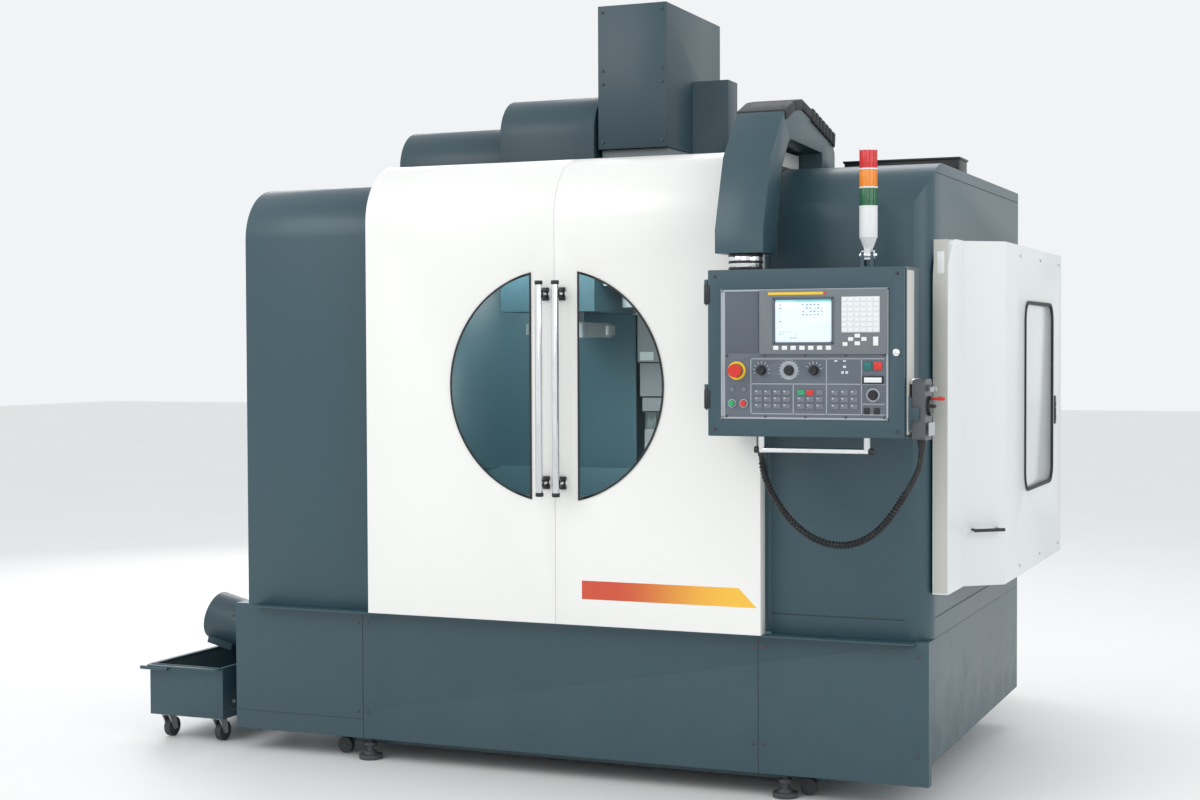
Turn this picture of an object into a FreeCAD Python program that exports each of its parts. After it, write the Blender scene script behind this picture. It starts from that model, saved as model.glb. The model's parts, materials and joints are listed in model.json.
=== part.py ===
import FreeCAD, Part
import math
import os
from types import SimpleNamespace

import Sketcher

# A vertical machining centre with its enclosure, operator pendant, coolant tank and chip cart.
# Sizes are worked from the machine datum: X 0 is the split between the doors, Y 0 is the face of
# the doors with +Y towards the back, and Z 0 is the floor. Every sub-part's Placement then moves it
# so that the origin is on the floor under the middle of the whole.

doc = FreeCAD.newDocument("machining_center")
Vector = FreeCAD.Vector

SIZES = {
    # datum to the middle of the whole
    "centre_x": -158, "centre_y": 988,
    # enclosure
    "sheet": 4, "half_width": 1258, "front_y": 60, "back_y": 1575, "roof_z": 2057,
    "roll_radius": 192, "corner_radius": 90, "guard_inner_x": 741,
    "skirt_bottom": 79, "skirt_top": 539, "skirt_left": 1314, "side_bottom": 144,
    "joint_gap": 0.3, "roof_opening_margin": 12,
    # doors
    "door_width": 723.5, "door_top": 2119, "door_thick": 50, "door_skin": 3,
    "door_roll": 215, "door_back": 430, "door_meeting_gap": 1,
    "window_radius": 390, "window_inner_x": 88, "window_z": 1341, "window_lap": 14, "glass": 6,
    "handle_x": 30, "handle_radius": 12.5, "handle_proud": 60, "handle_low": 986,
    "handle_high": 1680, "handle_post": 9,
    # side cover
    "cover_step": 50, "cover_out": 166, "cover_front_y": 107, "cover_fold_y": 343,
    "cover_slant_y": 440, "cover_back_y": 1566, "cover_low": 685, "cover_high": 1812,
    "cover_roll": 130, "side_window_y": 795, "side_window_length": 560, "side_window_low": 972,
    "side_window_high": 1618, "side_window_corner": 60, "gasket_wide": 8, "gasket_proud": 6,
    # guards inside the working space
    "inner_guard_x": 1180, "inner_guard_corner": 340, "inner_guard_low": 960, "inner_guard_drop": 97,
    # machine structure
    "bed_half": 560, "bed_low": 80, "bed_high": 560, "bed_front": 690, "way_high": 640,
    "way_x": 240, "way_width": 60, "column_half": 240, "column_front": 1440, "column_back": 1880,
    "column_high": 2240, "column_wall": 30, "rail_x": 200, "rail_width": 40, "rail_depth": 30,
    # axes
    "spindle_y": 860, "table_length": 1200, "table_depth": 500, "table_top": 880,
    "table_thick": 80, "slot_width": 18, "slot_depth": 26, "slot_pitch": 100, "slot_foot": 30,
    "saddle_half": 300, "saddle_depth": 460, "head_half": 130, "head_front": 735,
    "head_low": 1700, "head_high": 2205, "plate_half": 236, "plate_front": 1345,
    "nose_low": 1620, "nose_radius": 95, "spindle_radius": 55, "spindle_low": 1592,
    "spindle_high": 1780, "taper_bore": 22.225, "taper_depth": 65, "drawbar_bore": 12,
    "head_cover_half": 136, "head_cover_front": 710, "head_cover_back": 1308,
    "head_cover_top": 2735, "side_box_x": 278, "side_box_front": 993, "side_box_back": 1100,
    "side_box_top": 2478, "way_cover_half": 190, "way_cover_low": 1188,
    "nozzle_x": 107, "nozzle_y": 900, "nozzle_low": 1452,
    # tool changer
    "changer_left": 537, "changer_right": 150, "changer_front": 700, "changer_back": 1330,
    "changer_top": 2418, "changer_low": 1605, "changer_roll": 150,
    "magazine_left": 1003, "magazine_right": 541, "magazine_front": 760, "magazine_back": 1300,
    "magazine_top": 2324, "disc_x": 766, "disc_drop": 47, "disc_radius": 172, "disc_front": 900,
    "disc_back": 1010, "axle_radius": 25, "pot_radius": 31, "pot_circle": 178, "pot_count": 12,
    "arm_x": 310, "arm_mouth_depth": 38, "arm_low": 1508, "arm_high": 1566, "arm_shaft": 45,
    "arm_angle": 90,
    # cabinet
    "cabinet_left": 470, "cabinet_right": 1050, "cabinet_back": 2216, "cabinet_low": 150,
    "cabinet_high": 1960, "cabinet_door_thick": 18,
    # tank and feet
    "foot_x": 775, "foot_front": 102, "foot_back": 1500, "foot_radius": 42, "foot_pad": 16,
    "foot_screw": 12, "tank_left": 940, "tank_right": 950, "tank_front": 176, "tank_back": 640,
    "tank_low": 40, "tank_high": 138, "tank_wheel_left": 907, "tank_wheel_right": 840,
    "tank_wheel": 28, "tank_wheel_width": 22,
    # chip auger and cart
    "auger_y": 380, "auger_radius": 92.5, "auger_wall": 5, "auger_end_x": 1610,
    "auger_end_z": 436, "auger_tilt": 14, "auger_length": 480, "auger_shaft": 20,
    "flight_radius": 80, "flight_pitch": 120,
    "cart_left": 1726, "cart_right": 1402, "cart_front": 100, "cart_back": 690, "cart_low": 92,
    "cart_high": 284, "cart_wheel": 36, "cart_wheel_width": 24, "caster_inset": 48,
    # pendant
    "pendant_left": 625, "pendant_right": 1251, "pendant_low": 1193, "pendant_high": 1710,
    "pendant_face": -230, "pendant_back": -52, "pendant_split": -214, "pendant_plate": 12,
    "panel_left": 674, "panel_right": 1198, "panel_low": 1251, "panel_high": 1644,
    "panel_thick": 8, "panel_proud": 2, "display_left": 798, "display_low": 1447,
    "display_proud": 6, "screen_left": 847, "screen_right": 1028, "screen_low": 1483,
    "screen_high": 1615, "screen_recess": 3, "leg_x": 722, "leg_y": -140, "leg_half": 79,
    "arm_pivot_y": 525, "collar_radius": 50, "collar_high": 1762, "hinge_x": 621,
    "hinge_y": -224, "hinge_radius": 7, "hinge_pin": 3, "hinge_low": 1278, "hinge_upper": 1604,
    "hinge_length": 60, "estop_x": 724, "estop_z": 1397, "estop_radius": 20, "estop_ring": 28,
    "knob_z": 1398, "mode_x": 803, "feed_x": 891, "speed_x": 970, "jog_x": 1154,
    "jog_z": 1324, "knob_radius": 15, "knob_length": 18, "knob_shaft": 6, "push_radius": 9,
    "push_travel": 4, "push_z": 1296,
    "start_x": 707, "stop_x": 745, "bar_left": 773, "bar_right": 1151, "bar_z": 1152,
    "bar_radius": 9, "bar_y": -208, "unit_y": -140, "unit_half": 46, "unit_low": 1187,
    "unit_high": 1372, "unit_depth": 40, "unit_stand_off": 11, "dial_radius": 30, "dial_z": 1290,
    "cord_radius": 9, "gland_radius": 15, "tower_x": 1100, "tower_y": -80, "tower_radius": 28,
    "knuckle_z": 1752, "tower_foot": 1806, "tower_white": 1902, "lens_green": 1962,
    "lens_amber": 2019, "lens_red": 2079, "lens_ring": 4,
}


class Size:
    """A number together with the spreadsheet expression that gives it."""

    def __init__(self, value, text):
        self.value = value
        self.text = text

    @staticmethod
    def of(other):
        if isinstance(other, Size):
            return other
        return Size(float(other), repr(float(other)))

    def join(self, sign, other, value):
        return Size(value, f"({self.text} {sign} {other.text})")

    def __add__(self, other):
        other = Size.of(other)
        return self.join("+", other, self.value + other.value)

    def __radd__(self, other):
        return Size.of(other) + self

    def __sub__(self, other):
        other = Size.of(other)
        return self.join("-", other, self.value - other.value)

    def __rsub__(self, other):
        return Size.of(other) - self

    def __mul__(self, other):
        other = Size.of(other)
        return self.join("*", other, self.value * other.value)

    def __rmul__(self, other):
        return Size.of(other) * self

    def __truediv__(self, other):
        other = Size.of(other)
        return self.join("/", other, self.value / other.value)

    def __neg__(self):
        return Size.of(0) - self


def make_sheet(values):
    """Fill the spreadsheet and return its sizes by name."""
    sheet = doc.addObject("Spreadsheet::Sheet", "Sizes")
    named = SimpleNamespace()
    for row, (alias, value) in enumerate(values.items(), start=1):
        sheet.set(f"A{row}", alias)
        sheet.set(f"B{row}", str(value))
        sheet.setAlias(f"B{row}", alias)
        setattr(named, alias, Size(float(value), f"Sizes.{alias}"))
    doc.recompute()
    return named


S = make_sheet(SIZES)
S.cover_step_x = S.half_width + S.cover_step
S.cover_out_x = S.half_width + S.cover_out
S.inner_guard_high = S.roof_z - S.inner_guard_drop
S.disc_z = S.roof_z - S.disc_drop
SUBPARTS = []
ROTATIONS = {
    "z": FreeCAD.Rotation(Vector(0, 0, 1), 0),
    "x": FreeCAD.Rotation(Vector(0, 1, 0), 90),
    "y": FreeCAD.Rotation(Vector(1, 0, 0), -90),
}


def bind(feature, path, size):
    """Tie one property of a feature to a size."""
    size = Size.of(size)
    feature.setExpression(path, size.text)


def place(feature, corner):
    for letter, size in zip("xyz", corner):
        bind(feature, f".Placement.Base.{letter}", size)


def box(name, low, high):
    """A block between two opposite corners."""
    block = doc.addObject("Part::Box", name)
    for path, start, end in zip(("Length", "Width", "Height"), low, high):
        bind(block, path, Size.of(end) - start)
    place(block, low)
    return block


def rod(name, start, radius, length, axis="z"):
    """A cylinder that runs from its start point along +x, +y or +z."""
    cylinder = doc.addObject("Part::Cylinder", name)
    bind(cylinder, "Radius", radius)
    bind(cylinder, "Height", length)
    cylinder.Placement = FreeCAD.Placement(Vector(), ROTATIONS[axis])
    place(cylinder, start)
    return cylinder


def taper(name, start, radius, end_radius, length, axis="z"):
    cone = doc.addObject("Part::Cone", name)
    bind(cone, "Radius1", radius)
    bind(cone, "Radius2", end_radius)
    bind(cone, "Height", length)
    cone.Placement = FreeCAD.Placement(Vector(), ROTATIONS[axis])
    place(cone, start)
    return cone


def fuse(name, *shapes):
    union = doc.addObject("Part::MultiFuse", name)
    union.Shapes = list(shapes)
    union.Refine = True
    return union


def cut(name, base, *tools):
    difference = doc.addObject("Part::Cut", name)
    difference.Base = base
    difference.Tool = tools[0] if len(tools) == 1 else fuse(f"{name}_tools", *tools)
    return difference


def common(name, first, second):
    overlap = doc.addObject("Part::MultiCommon", name)
    overlap.Shapes = [first, second]
    return overlap


PLANES = {"XY": ("XY_Plane", 1), "XZ": ("XZ_Plane", -1), "YZ": ("YZ_Plane", 1)}


def prism(name, plane, outline, start, end, rounds=()):
    """Pad an outline of corner points from start to end along the plane's own axis.

    rounds lists (corner number, radius): the pad's edge at that corner is rounded.
    """
    body = doc.addObject("PartDesign::Body", name)
    role, direction = PLANES[plane]
    origin_plane = next(f for f in body.Origin.OriginFeatures if f.Role == role)
    sketch = body.newObject("Sketcher::SketchObject", f"{name}_outline")
    sketch.AttachmentSupport = [(origin_plane, "")]
    sketch.MapMode = "FlatFace"
    near_side = Size.of(start) if direction > 0 else -Size.of(start)
    bind(sketch, ".AttachmentOffset.Base.z", near_side)
    points = [(Size.of(u), Size.of(v)) for u, v in outline]
    corners = [Vector(u.value, v.value, 0) for u, v in points]
    count = len(corners)
    for index in range(count):
        sketch.addGeometry(Part.LineSegment(corners[index], corners[(index + 1) % count]), False)
    for index in range(count):
        sketch.addConstraint(Sketcher.Constraint("Coincident", index, 2, (index + 1) % count, 1))
    for index, (u, v) in enumerate(points):
        for kind, size in (("DistanceX", u), ("DistanceY", v)):
            number = sketch.addConstraint(Sketcher.Constraint(kind, -1, 1, index, 1, size.value))
            sketch.renameConstraint(number, f"{kind}_{index}")
            bind(sketch, f"Constraints.{kind}_{index}", size)
    pad = body.newObject("PartDesign::Pad", f"{name}_pad")
    pad.Profile = sketch
    pad.Reversed = direction < 0
    bind(pad, "Length", Size.of(end) - start)
    sketch.Visibility = False
    doc.recompute()
    feature = pad
    for step, (corner, radius) in enumerate(rounds):
        edge = edge_at(feature.Shape, plane, corners[corner], Size.of(start).value, Size.of(end).value)
        fillet = body.newObject("PartDesign::Fillet", f"{name}_round_{step}")
        fillet.Base = (feature, [edge])
        bind(fillet, "Radius", radius)
        doc.recompute()
        feature = fillet
    body.Tip = feature
    return body


def edge_at(shape, plane, corner, start, end):
    """Name the padded edge that stands on an outline corner."""
    middle = (start + end) / 2
    spots = {
        "XY": Vector(corner.x, corner.y, middle),
        "XZ": Vector(corner.x, middle, corner.y),
        "YZ": Vector(middle, corner.x, corner.y),
    }
    distances = [(edge.CenterOfMass - spots[plane]).Length for edge in shape.Edges]
    return f"Edge{distances.index(min(distances)) + 1}"


def keep(name, shape):
    """Make a shape a sub-part of the machine, moved from the machine datum to the middle."""
    shape.Label = name
    place(shape, (-S.centre_x, -S.centre_y, 0))
    SUBPARTS.append(shape)
    return shape


def keep_code_shape(name, shape):
    """Make a shape built in code a sub-part; it keeps its own turn and adds the move."""
    feature = doc.addObject("Part::Feature", name)
    feature.Label = name
    feature.Shape = shape
    to_middle = Vector(-S.centre_x.value, -S.centre_y.value, 0)
    feature.Placement = FreeCAD.Placement(to_middle, FreeCAD.Rotation()).multiply(shape.Placement)
    SUBPARTS.append(feature)


# ---------------------------------------------------------------- structure


def build_bed():
    casting = box(
        "bed_block",
        (-S.bed_half, S.bed_front, S.bed_low), (S.bed_half, S.column_back, S.bed_high),
    )
    ways = []
    for side, name in ((-1, "left"), (1, "right")):
        x = side * S.way_x
        ways.append(box(
            f"bed_way_{name}",
            (x - S.way_width / 2, S.bed_front, S.bed_high),
            (x + S.way_width / 2, S.column_front - 40, S.way_high),
        ))
    keep("bed", fuse("bed_casting", casting, *ways))


def build_column():
    wall = S.column_wall
    outside = box(
        "column_block",
        (-S.column_half, S.column_front, S.bed_high),
        (S.column_half, S.column_back, S.column_high),
    )
    inside = box(
        "column_core",
        (-S.column_half + wall, S.column_front + wall, S.bed_high + wall),
        (S.column_half - wall, S.column_back - wall, S.column_high + 1),
    )
    parts = [cut("column_hollow", outside, inside)]
    for side, name in ((-1, "left"), (1, "right")):
        x = side * S.rail_x
        parts.append(box(
            f"column_rail_{name}",
            (x - S.rail_width / 2, S.column_front - S.rail_depth, 700),
            (x + S.rail_width / 2, S.column_front, S.column_high),
        ))
    parts.append(box(
        "magazine_bracket",
        (-S.disc_x - 40, S.column_front + 10, S.disc_z - 40),
        (-S.column_half, S.column_front + 60, S.disc_z + 40),
    ))
    parts.append(rod(
        "magazine_axle",
        (-S.disc_x, S.disc_front - 12, S.disc_z),
        S.axle_radius,
        S.column_front + 30 - (S.disc_front - 12),
        "y",
    ))
    keep("column", fuse("column_casting", *parts))


def build_feet():
    feet = []
    spots = [(x, y) for x in (-S.foot_x, S.foot_x) for y in (S.foot_front, S.foot_back)]
    for number, (x, y) in enumerate(spots):
        pad = rod(f"foot_pad_{number}", (x, y, 0), S.foot_radius, S.foot_pad)
        crown = taper(
            f"foot_crown_{number}", (x, y, S.foot_pad), S.foot_radius * 0.62, S.foot_screw * 1.6, 12
        )
        bolt = rod(f"foot_screw_{number}", (x, y, 5), S.foot_screw, S.side_bottom + 6 - 5)
        nut = rod(f"foot_nut_{number}", (x, y, S.foot_pad + 30), S.foot_screw * 1.8, 14)
        feet.append(fuse(f"foot_{number}", pad, crown, bolt, nut))
    group = doc.addObject("Part::Compound", "levelling_foot_group")
    group.Links = feet
    keep("levelling_feet", group)


# ---------------------------------------------------------------- enclosure


def rolled_outline(front, low, top, back, wall):
    """The side view of a folded front: up the face, over the roll and back along the roof."""
    return [
        (front, low), (front, top), (back, top),
        (back, top - wall), (front + wall, top - wall), (front + wall, low),
    ]


def build_left_guard():
    skin = prism(
        "left_front_and_roof", "YZ",
        rolled_outline(S.front_y, S.skirt_top, S.roof_z, S.back_y - S.sheet, S.sheet),
        -S.half_width, -S.guard_inner_x,
        [(1, S.roll_radius), (4, S.roll_radius - S.sheet)],
    )
    side = prism(
        "left_side", "YZ",
        [
            (S.front_y, S.skirt_top), (S.front_y, S.roof_z),
            (S.back_y - S.sheet, S.roof_z), (S.back_y - S.sheet, S.skirt_top),
        ],
        -S.half_width, -S.half_width + S.sheet,
        [(1, S.roll_radius)],
    )
    shell = fuse("left_guard_shell", skin, side)
    margin = S.roof_opening_margin
    opening = box(
        "left_roof_opening",
        (-S.magazine_left + margin, S.magazine_front + margin, S.roof_z - 20),
        (0, S.magazine_back - margin, S.roof_z + 20),
    )
    keep("left_guard", cut("left_guard_sheet", shell, opening))


def right_block(name, inset, low, open_by):
    """The right section's solid outline: side view and plan combined, so both corners round."""
    side_view = prism(
        f"{name}_side_view", "YZ",
        [
            (S.front_y + inset, low), (S.front_y + inset, S.roof_z - inset),
            (S.back_y - S.sheet + open_by, S.roof_z - inset), (S.back_y - S.sheet + open_by, low),
        ],
        S.guard_inner_x - open_by, S.half_width + 10,
        [(1, S.roll_radius - inset)],
    )
    plan = prism(
        f"{name}_plan", "XY",
        [
            (S.guard_inner_x - open_by, S.front_y + inset), (S.half_width - inset, S.front_y + inset),
            (S.half_width - inset, S.back_y - S.sheet + open_by),
            (S.guard_inner_x - open_by, S.back_y - S.sheet + open_by),
        ],
        low, S.roof_z + 10,
        [(1, S.corner_radius - inset)],
    )
    return common(name, side_view, plan)


def build_right_guard():
    outside = right_block("right_outside", Size.of(0), S.skirt_top, Size.of(0))
    inside = right_block("right_inside", S.sheet, S.skirt_top - 10, Size.of(20))
    opening = box(
        "right_side_opening",
        (S.half_width - 30, S.cover_front_y + 150, S.cover_low + 60),
        (S.half_width + 30, S.cover_back_y - 90, S.cover_high - 60),
    )
    keep("right_guard", cut("right_guard_sheet", outside, inside, opening))


def build_skirt():
    outside = box(
        "skirt_outside",
        (-S.skirt_left, S.front_y, S.skirt_bottom),
        (S.half_width, S.back_y - S.sheet, S.skirt_top - S.joint_gap),
    )
    inside = box(
        "skirt_inside",
        (-S.skirt_left + S.sheet, S.front_y + S.sheet, S.skirt_bottom - 10),
        (S.half_width - S.sheet, S.back_y + 10, S.skirt_top - S.joint_gap - S.sheet),
    )
    side_clearance = box(
        "skirt_side_clearance",
        (-S.skirt_left - 10, S.front_y + 40, S.skirt_bottom - 10),
        (S.half_width + 10, S.back_y + 10, S.side_bottom),
    )
    floor_opening = box(
        "skirt_top_opening",
        (-S.half_width + 60, S.front_y + 140, S.skirt_top - 20),
        (S.half_width - 60, S.back_y + 10, S.skirt_top + 10),
    )
    auger_hole = doc.addObject("Part::Feature", "skirt_auger_hole")
    hole_radius = S.auger_radius.value + S.joint_gap.value
    auger_hole.Shape = auger_place(Part.makeCylinder(
        hole_radius, S.auger_length.value, Vector(40, 0, 0), Vector(1, 0, 0)
    ))
    shell = cut("skirt_shell", outside, inside, side_clearance, floor_opening, auger_hole)
    foot_shelves = []
    for number, (side, y) in enumerate([(s, y) for s in (-1, 1) for y in (S.foot_front, S.foot_back)]):
        x = side * S.foot_x
        foot_shelves.append(box(
            f"foot_shelf_{number}",
            (x - 45, y - 38, S.side_bottom + 6), (x + 45, y + 60, S.side_bottom + 20),
        ))
    rear_shelves = []
    spans = (
        (-S.skirt_left + 1, -S.bed_half - S.joint_gap),
        (S.bed_half + S.joint_gap, S.half_width - 1),
    )
    for number, (left, right) in enumerate(spans):
        rear_shelves.append(box(
            f"rear_shelf_{number}",
            (left, S.foot_back - 38, S.side_bottom + 6), (right, S.foot_back + 60, S.side_bottom + 20),
        ))
    track_top = S.skirt_top - S.joint_gap
    track = box(
        "door_track",
        (-S.half_width + 40, 8, track_top - 6), (S.half_width - 40, S.front_y + 1, track_top),
    )
    keep("base_skirt", fuse("base_skirt_sheet", shell, *foot_shelves, *rear_shelves, track))


def build_rear_guard():
    wall = box(
        "rear_wall",
        (-S.half_width, S.back_y - S.sheet, S.side_bottom),
        (S.half_width, S.back_y, S.roof_z),
    )
    opening = box(
        "rear_column_opening",
        (-S.bed_half - 5, S.back_y - 20, S.side_bottom - 10),
        (S.bed_half + 5, S.back_y + 20, S.bed_high + 5),
    )
    slot = box(
        "rear_column_slot",
        (-S.column_half - 5, S.back_y - 20, S.bed_high),
        (S.column_half + 5, S.back_y + 20, S.roof_z + 10),
    )
    keep("rear_guard", cut("rear_guard_sheet", wall, opening, slot))


def build_roof():
    margin = S.roof_opening_margin
    plate = box(
        "roof_plate",
        (-S.guard_inner_x, 300, S.roof_z - S.sheet),
        (S.guard_inner_x, S.back_y - S.sheet, S.roof_z),
    )
    head_opening = box(
        "roof_head_opening",
        (-S.changer_right - 20, S.changer_front, S.roof_z - 20),
        (S.side_box_x + margin, S.plate_front, S.roof_z + 20),
    )
    column_opening = box(
        "roof_column_opening",
        (-S.column_half - margin, S.plate_front - margin, S.roof_z - 20),
        (S.column_half + margin, S.back_y + 10, S.roof_z + 20),
    )
    changer_opening = box(
        "roof_changer_opening",
        (-S.changer_left - S.joint_gap, S.changer_front - S.joint_gap, S.roof_z - 20),
        (-S.changer_right + S.joint_gap, S.changer_back + S.joint_gap, S.roof_z + 20),
    )
    magazine_opening = box(
        "roof_magazine_opening",
        (-S.guard_inner_x - 10, S.magazine_front + margin, S.roof_z - 20),
        (-S.magazine_right - margin, S.magazine_back - margin, S.roof_z + 20),
    )
    keep("roof_panel", cut(
        "roof_panel_sheet", plate, head_opening, column_opening, changer_opening,
        magazine_opening,
    ))


def build_inner_guard():
    outer = S.inner_guard_x
    corner = S.inner_guard_corner
    low = S.inner_guard_low
    high = S.inner_guard_high
    plan = [
        (-outer, S.front_y + 70), (-outer, S.plate_front + 50),
        (-S.column_half - 20, S.plate_front + 50),
        (-S.column_half - 20, S.plate_front + 54), (-outer - 4, S.plate_front + 54),
        (-outer - 4, S.front_y + 70),
    ]
    left = prism("inner_guard_left", "XY", plan, low, high, [(1, corner), (4, corner + 4)])
    mirrored = [(-x, y) for x, y in plan]
    right = prism("inner_guard_right", "XY", mirrored, low, high, [(1, corner), (4, corner + 4)])
    brackets = []
    for side, name in ((-1, "left"), (1, "right")):
        ends = (side * (outer + 4), side * (S.half_width - S.sheet))
        x = sorted(ends, key=lambda size: size.value)
        for level, z in enumerate((low + 100, high - 120)):
            brackets.append(box(
                f"inner_guard_bracket_{name}_{level}", (x[0], 600, z), (x[1], 640, z + 40)
            ))
    group = doc.addObject("Part::Compound", "inner_guard_pair")
    group.Links = [
        fuse("inner_left_sheet", left, *brackets[:2]), fuse("inner_right_sheet", right, *brackets[2:]),
    ]
    keep("inner_guard", group)


# ---------------------------------------------------------------- doors


def build_door(side, name):
    skin = S.door_skin
    near = S.door_meeting_gap / 2
    far = S.door_width
    low_x, high_x = (near, far) if side > 0 else (-far, -near)
    low_z = S.skirt_top
    leaf = prism(
        f"{name}_leaf", "YZ",
        rolled_outline(Size.of(0), low_z, S.door_top, S.door_back, S.door_thick),
        low_x, high_x,
        [(1, S.door_roll), (4, S.door_roll - S.door_thick)],
    )
    pocket = prism(
        f"{name}_pocket", "YZ",
        rolled_outline(skin, low_z + skin, S.door_top - skin, S.door_back - skin, S.door_thick + 10),
        low_x + skin, high_x - skin,
        [(1, S.door_roll - skin), (4, S.door_roll - S.door_thick - skin - 10)],
    )
    pan = cut(f"{name}_pan", leaf, pocket)
    disc = rod(f"{name}_window_disc", (0, -20, S.window_z), S.window_radius, 60, "y")
    half = window_half(f"{name}_window_half", side, S.window_inner_x)
    keep(name, cut(f"{name}_skin", pan, common(f"{name}_window_cut", disc, half)))


def window_half(name, side, inner):
    """The block that turns a round window into one half with a straight inner edge."""
    reach = S.window_radius + 60
    low_x, high_x = (inner, reach) if side > 0 else (-reach, -inner)
    return box(name, (low_x, -30, S.window_z - reach), (high_x, 60, S.window_z + reach))


def build_window(side, name):
    disc = rod(
        f"{name}_disc", (0, S.door_skin, S.window_z), S.window_radius + S.window_lap, S.glass, "y"
    )
    half = window_half(f"{name}_half", side, S.window_inner_x - S.window_lap)
    keep(name, common(f"{name}_pane", disc, half))


def build_handle(side, name):
    x = side * S.handle_x
    grip = rod(f"{name}_grip", (x, -S.handle_proud, S.handle_low), S.handle_radius,
               S.handle_high - S.handle_low)
    posts = []
    proud = S.handle_proud
    for end, z in (("low", S.handle_low + 30), ("high", S.handle_high - 30)):
        posts.append(rod(f"{name}_post_{end}", (x, -proud, z), S.handle_post, proud, "y"))
        posts.append(rod(f"{name}_flange_{end}", (x, -8, z), S.handle_post * 1.7, 8, "y"))
    keep(name, fuse(f"{name}_bar", grip, *posts))


def cover_block(name, inset, open_by):
    """The side cover's solid outline: its plan with a slanted face, and its rolled top front."""
    plan = prism(
        f"{name}_plan", "XY",
        [
            (S.half_width + S.joint_gap - open_by, S.cover_front_y + inset),
            (S.cover_step_x - inset, S.cover_front_y + inset),
            (S.cover_step_x - inset, S.cover_fold_y + inset),
            (S.cover_out_x - inset, S.cover_slant_y + inset),
            (S.cover_out_x - inset, S.cover_back_y - inset),
            (S.half_width + S.joint_gap - open_by, S.cover_back_y - inset),
        ],
        S.cover_low + inset, S.cover_high - inset,
        [(1, 16)],
    )
    side_view = prism(
        f"{name}_side_view", "YZ",
        [
            (S.cover_front_y + inset, S.cover_low + inset),
            (S.cover_front_y + inset, S.cover_high - inset),
            (S.cover_back_y - inset, S.cover_high - inset),
            (S.cover_back_y - inset, S.cover_low + inset),
        ],
        S.half_width - 40, S.cover_out_x + 10,
        [(1, S.cover_roll - inset)],
    )
    return common(name, plan, side_view)


def side_window_block(name, grow, start, end):
    """A rounded upright window shape on the side cover's outer face."""
    grow = Size.of(grow)
    low_y = S.side_window_y - grow
    high_y = S.side_window_y + S.side_window_length + grow
    corner = S.side_window_corner + grow
    return prism(
        name, "YZ",
        [
            (low_y, S.side_window_low - grow), (high_y, S.side_window_low - grow),
            (high_y, S.side_window_high + grow), (low_y, S.side_window_high + grow),
        ],
        start, end,
        [(number, corner) for number in range(4)],
    )


def build_side_cover():
    outside = cover_block("cover_outside", Size.of(0), Size.of(0))
    inside = cover_block("cover_inside", S.door_skin, Size.of(20))
    window = side_window_block("cover_window_hole", 0, S.cover_out_x - 20, S.cover_out_x + 20)
    keep("side_cover", cut("side_cover_sheet", outside, inside, window))
    pane_outer = S.cover_out_x - S.door_skin
    pane = side_window_block("side_pane", S.window_lap, pane_outer - S.glass, pane_outer)
    lip = side_window_block("gasket_lip", S.gasket_wide, S.cover_out_x, S.cover_out_x + S.gasket_proud)
    throat = side_window_block("gasket_throat", -S.joint_gap, pane_outer - 1, S.cover_out_x + 1)
    daylight = side_window_block(
        "gasket_daylight", -S.gasket_wide, pane_outer, S.cover_out_x + S.gasket_proud + 1
    )
    gasket = cut("side_gasket", fuse("side_gasket_solid", lip, throat), daylight)
    keep("side_window", fuse("side_window_glazed", pane, gasket))


def build_side_handle():
    """A bow handle that stands square on the cover's slanted face."""
    run_x = S.cover_out_x.value - S.cover_step_x.value
    run_y = S.cover_slant_y.value - S.cover_fold_y.value
    along = Vector(run_x, run_y, 0).normalize()
    out = Vector(run_y, -run_x, 0).normalize()
    middle = Vector(S.cover_step_x.value, S.cover_fold_y.value, 870) + Vector(run_x, run_y, 0) * 0.5
    half_grip = 55
    proud = 34
    bar = 5.5
    start = middle - along * half_grip
    shape = Part.makeCylinder(bar, 2 * half_grip, start + out * proud, along)
    for end in (-1, 1):
        foot = middle + along * (end * (half_grip - 2 * bar))
        shape = shape.fuse(Part.makeCylinder(bar - 1, proud, foot, out))
    keep_code_shape("side_handle", shape)


# ---------------------------------------------------------------- axes


def build_saddle():
    low = S.spindle_y - S.saddle_depth / 2
    high = S.spindle_y + S.saddle_depth / 2
    block = box(
        "saddle_block",
        (-S.saddle_half, low, S.way_high + S.joint_gap),
        (S.saddle_half, high, S.table_top - S.table_thick - S.joint_gap),
    )
    shoes = []
    for side, name in ((-1, "left"), (1, "right")):
        x = side * (S.way_x + S.way_width / 2 + S.joint_gap + 12)
        for end, y in (("front", low), ("back", high - 90)):
            shoes.append(box(
                f"saddle_shoe_{name}_{end}",
                (x - 12, y, S.way_high - 50), (x + 12, y + 90, S.way_high + S.joint_gap + 5),
            ))
    keep("saddle", fuse("saddle_casting", block, *shoes))


def build_table():
    half = S.table_length / 2
    low = S.spindle_y - S.table_depth / 2
    high = S.spindle_y + S.table_depth / 2
    top = S.table_top
    slab = box("table_slab", (-half, low, top - S.table_thick), (half, high, top))
    slots = []
    for number in range(-2, 3):
        y = S.spindle_y + number * S.slot_pitch
        slots.append(box(
            f"slot_{number + 2}",
            (-half - 5, y - S.slot_width / 2, top - S.slot_depth),
            (half + 5, y + S.slot_width / 2, top + 5),
        ))
        slots.append(box(
            f"slot_foot_{number + 2}",
            (-half - 5, y - S.slot_foot / 2, top - S.slot_depth - 4),
            (half + 5, y + S.slot_foot / 2, top - S.slot_depth / 2),
        ))
    keep("table", cut("table_casting", slab, *slots))


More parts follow.
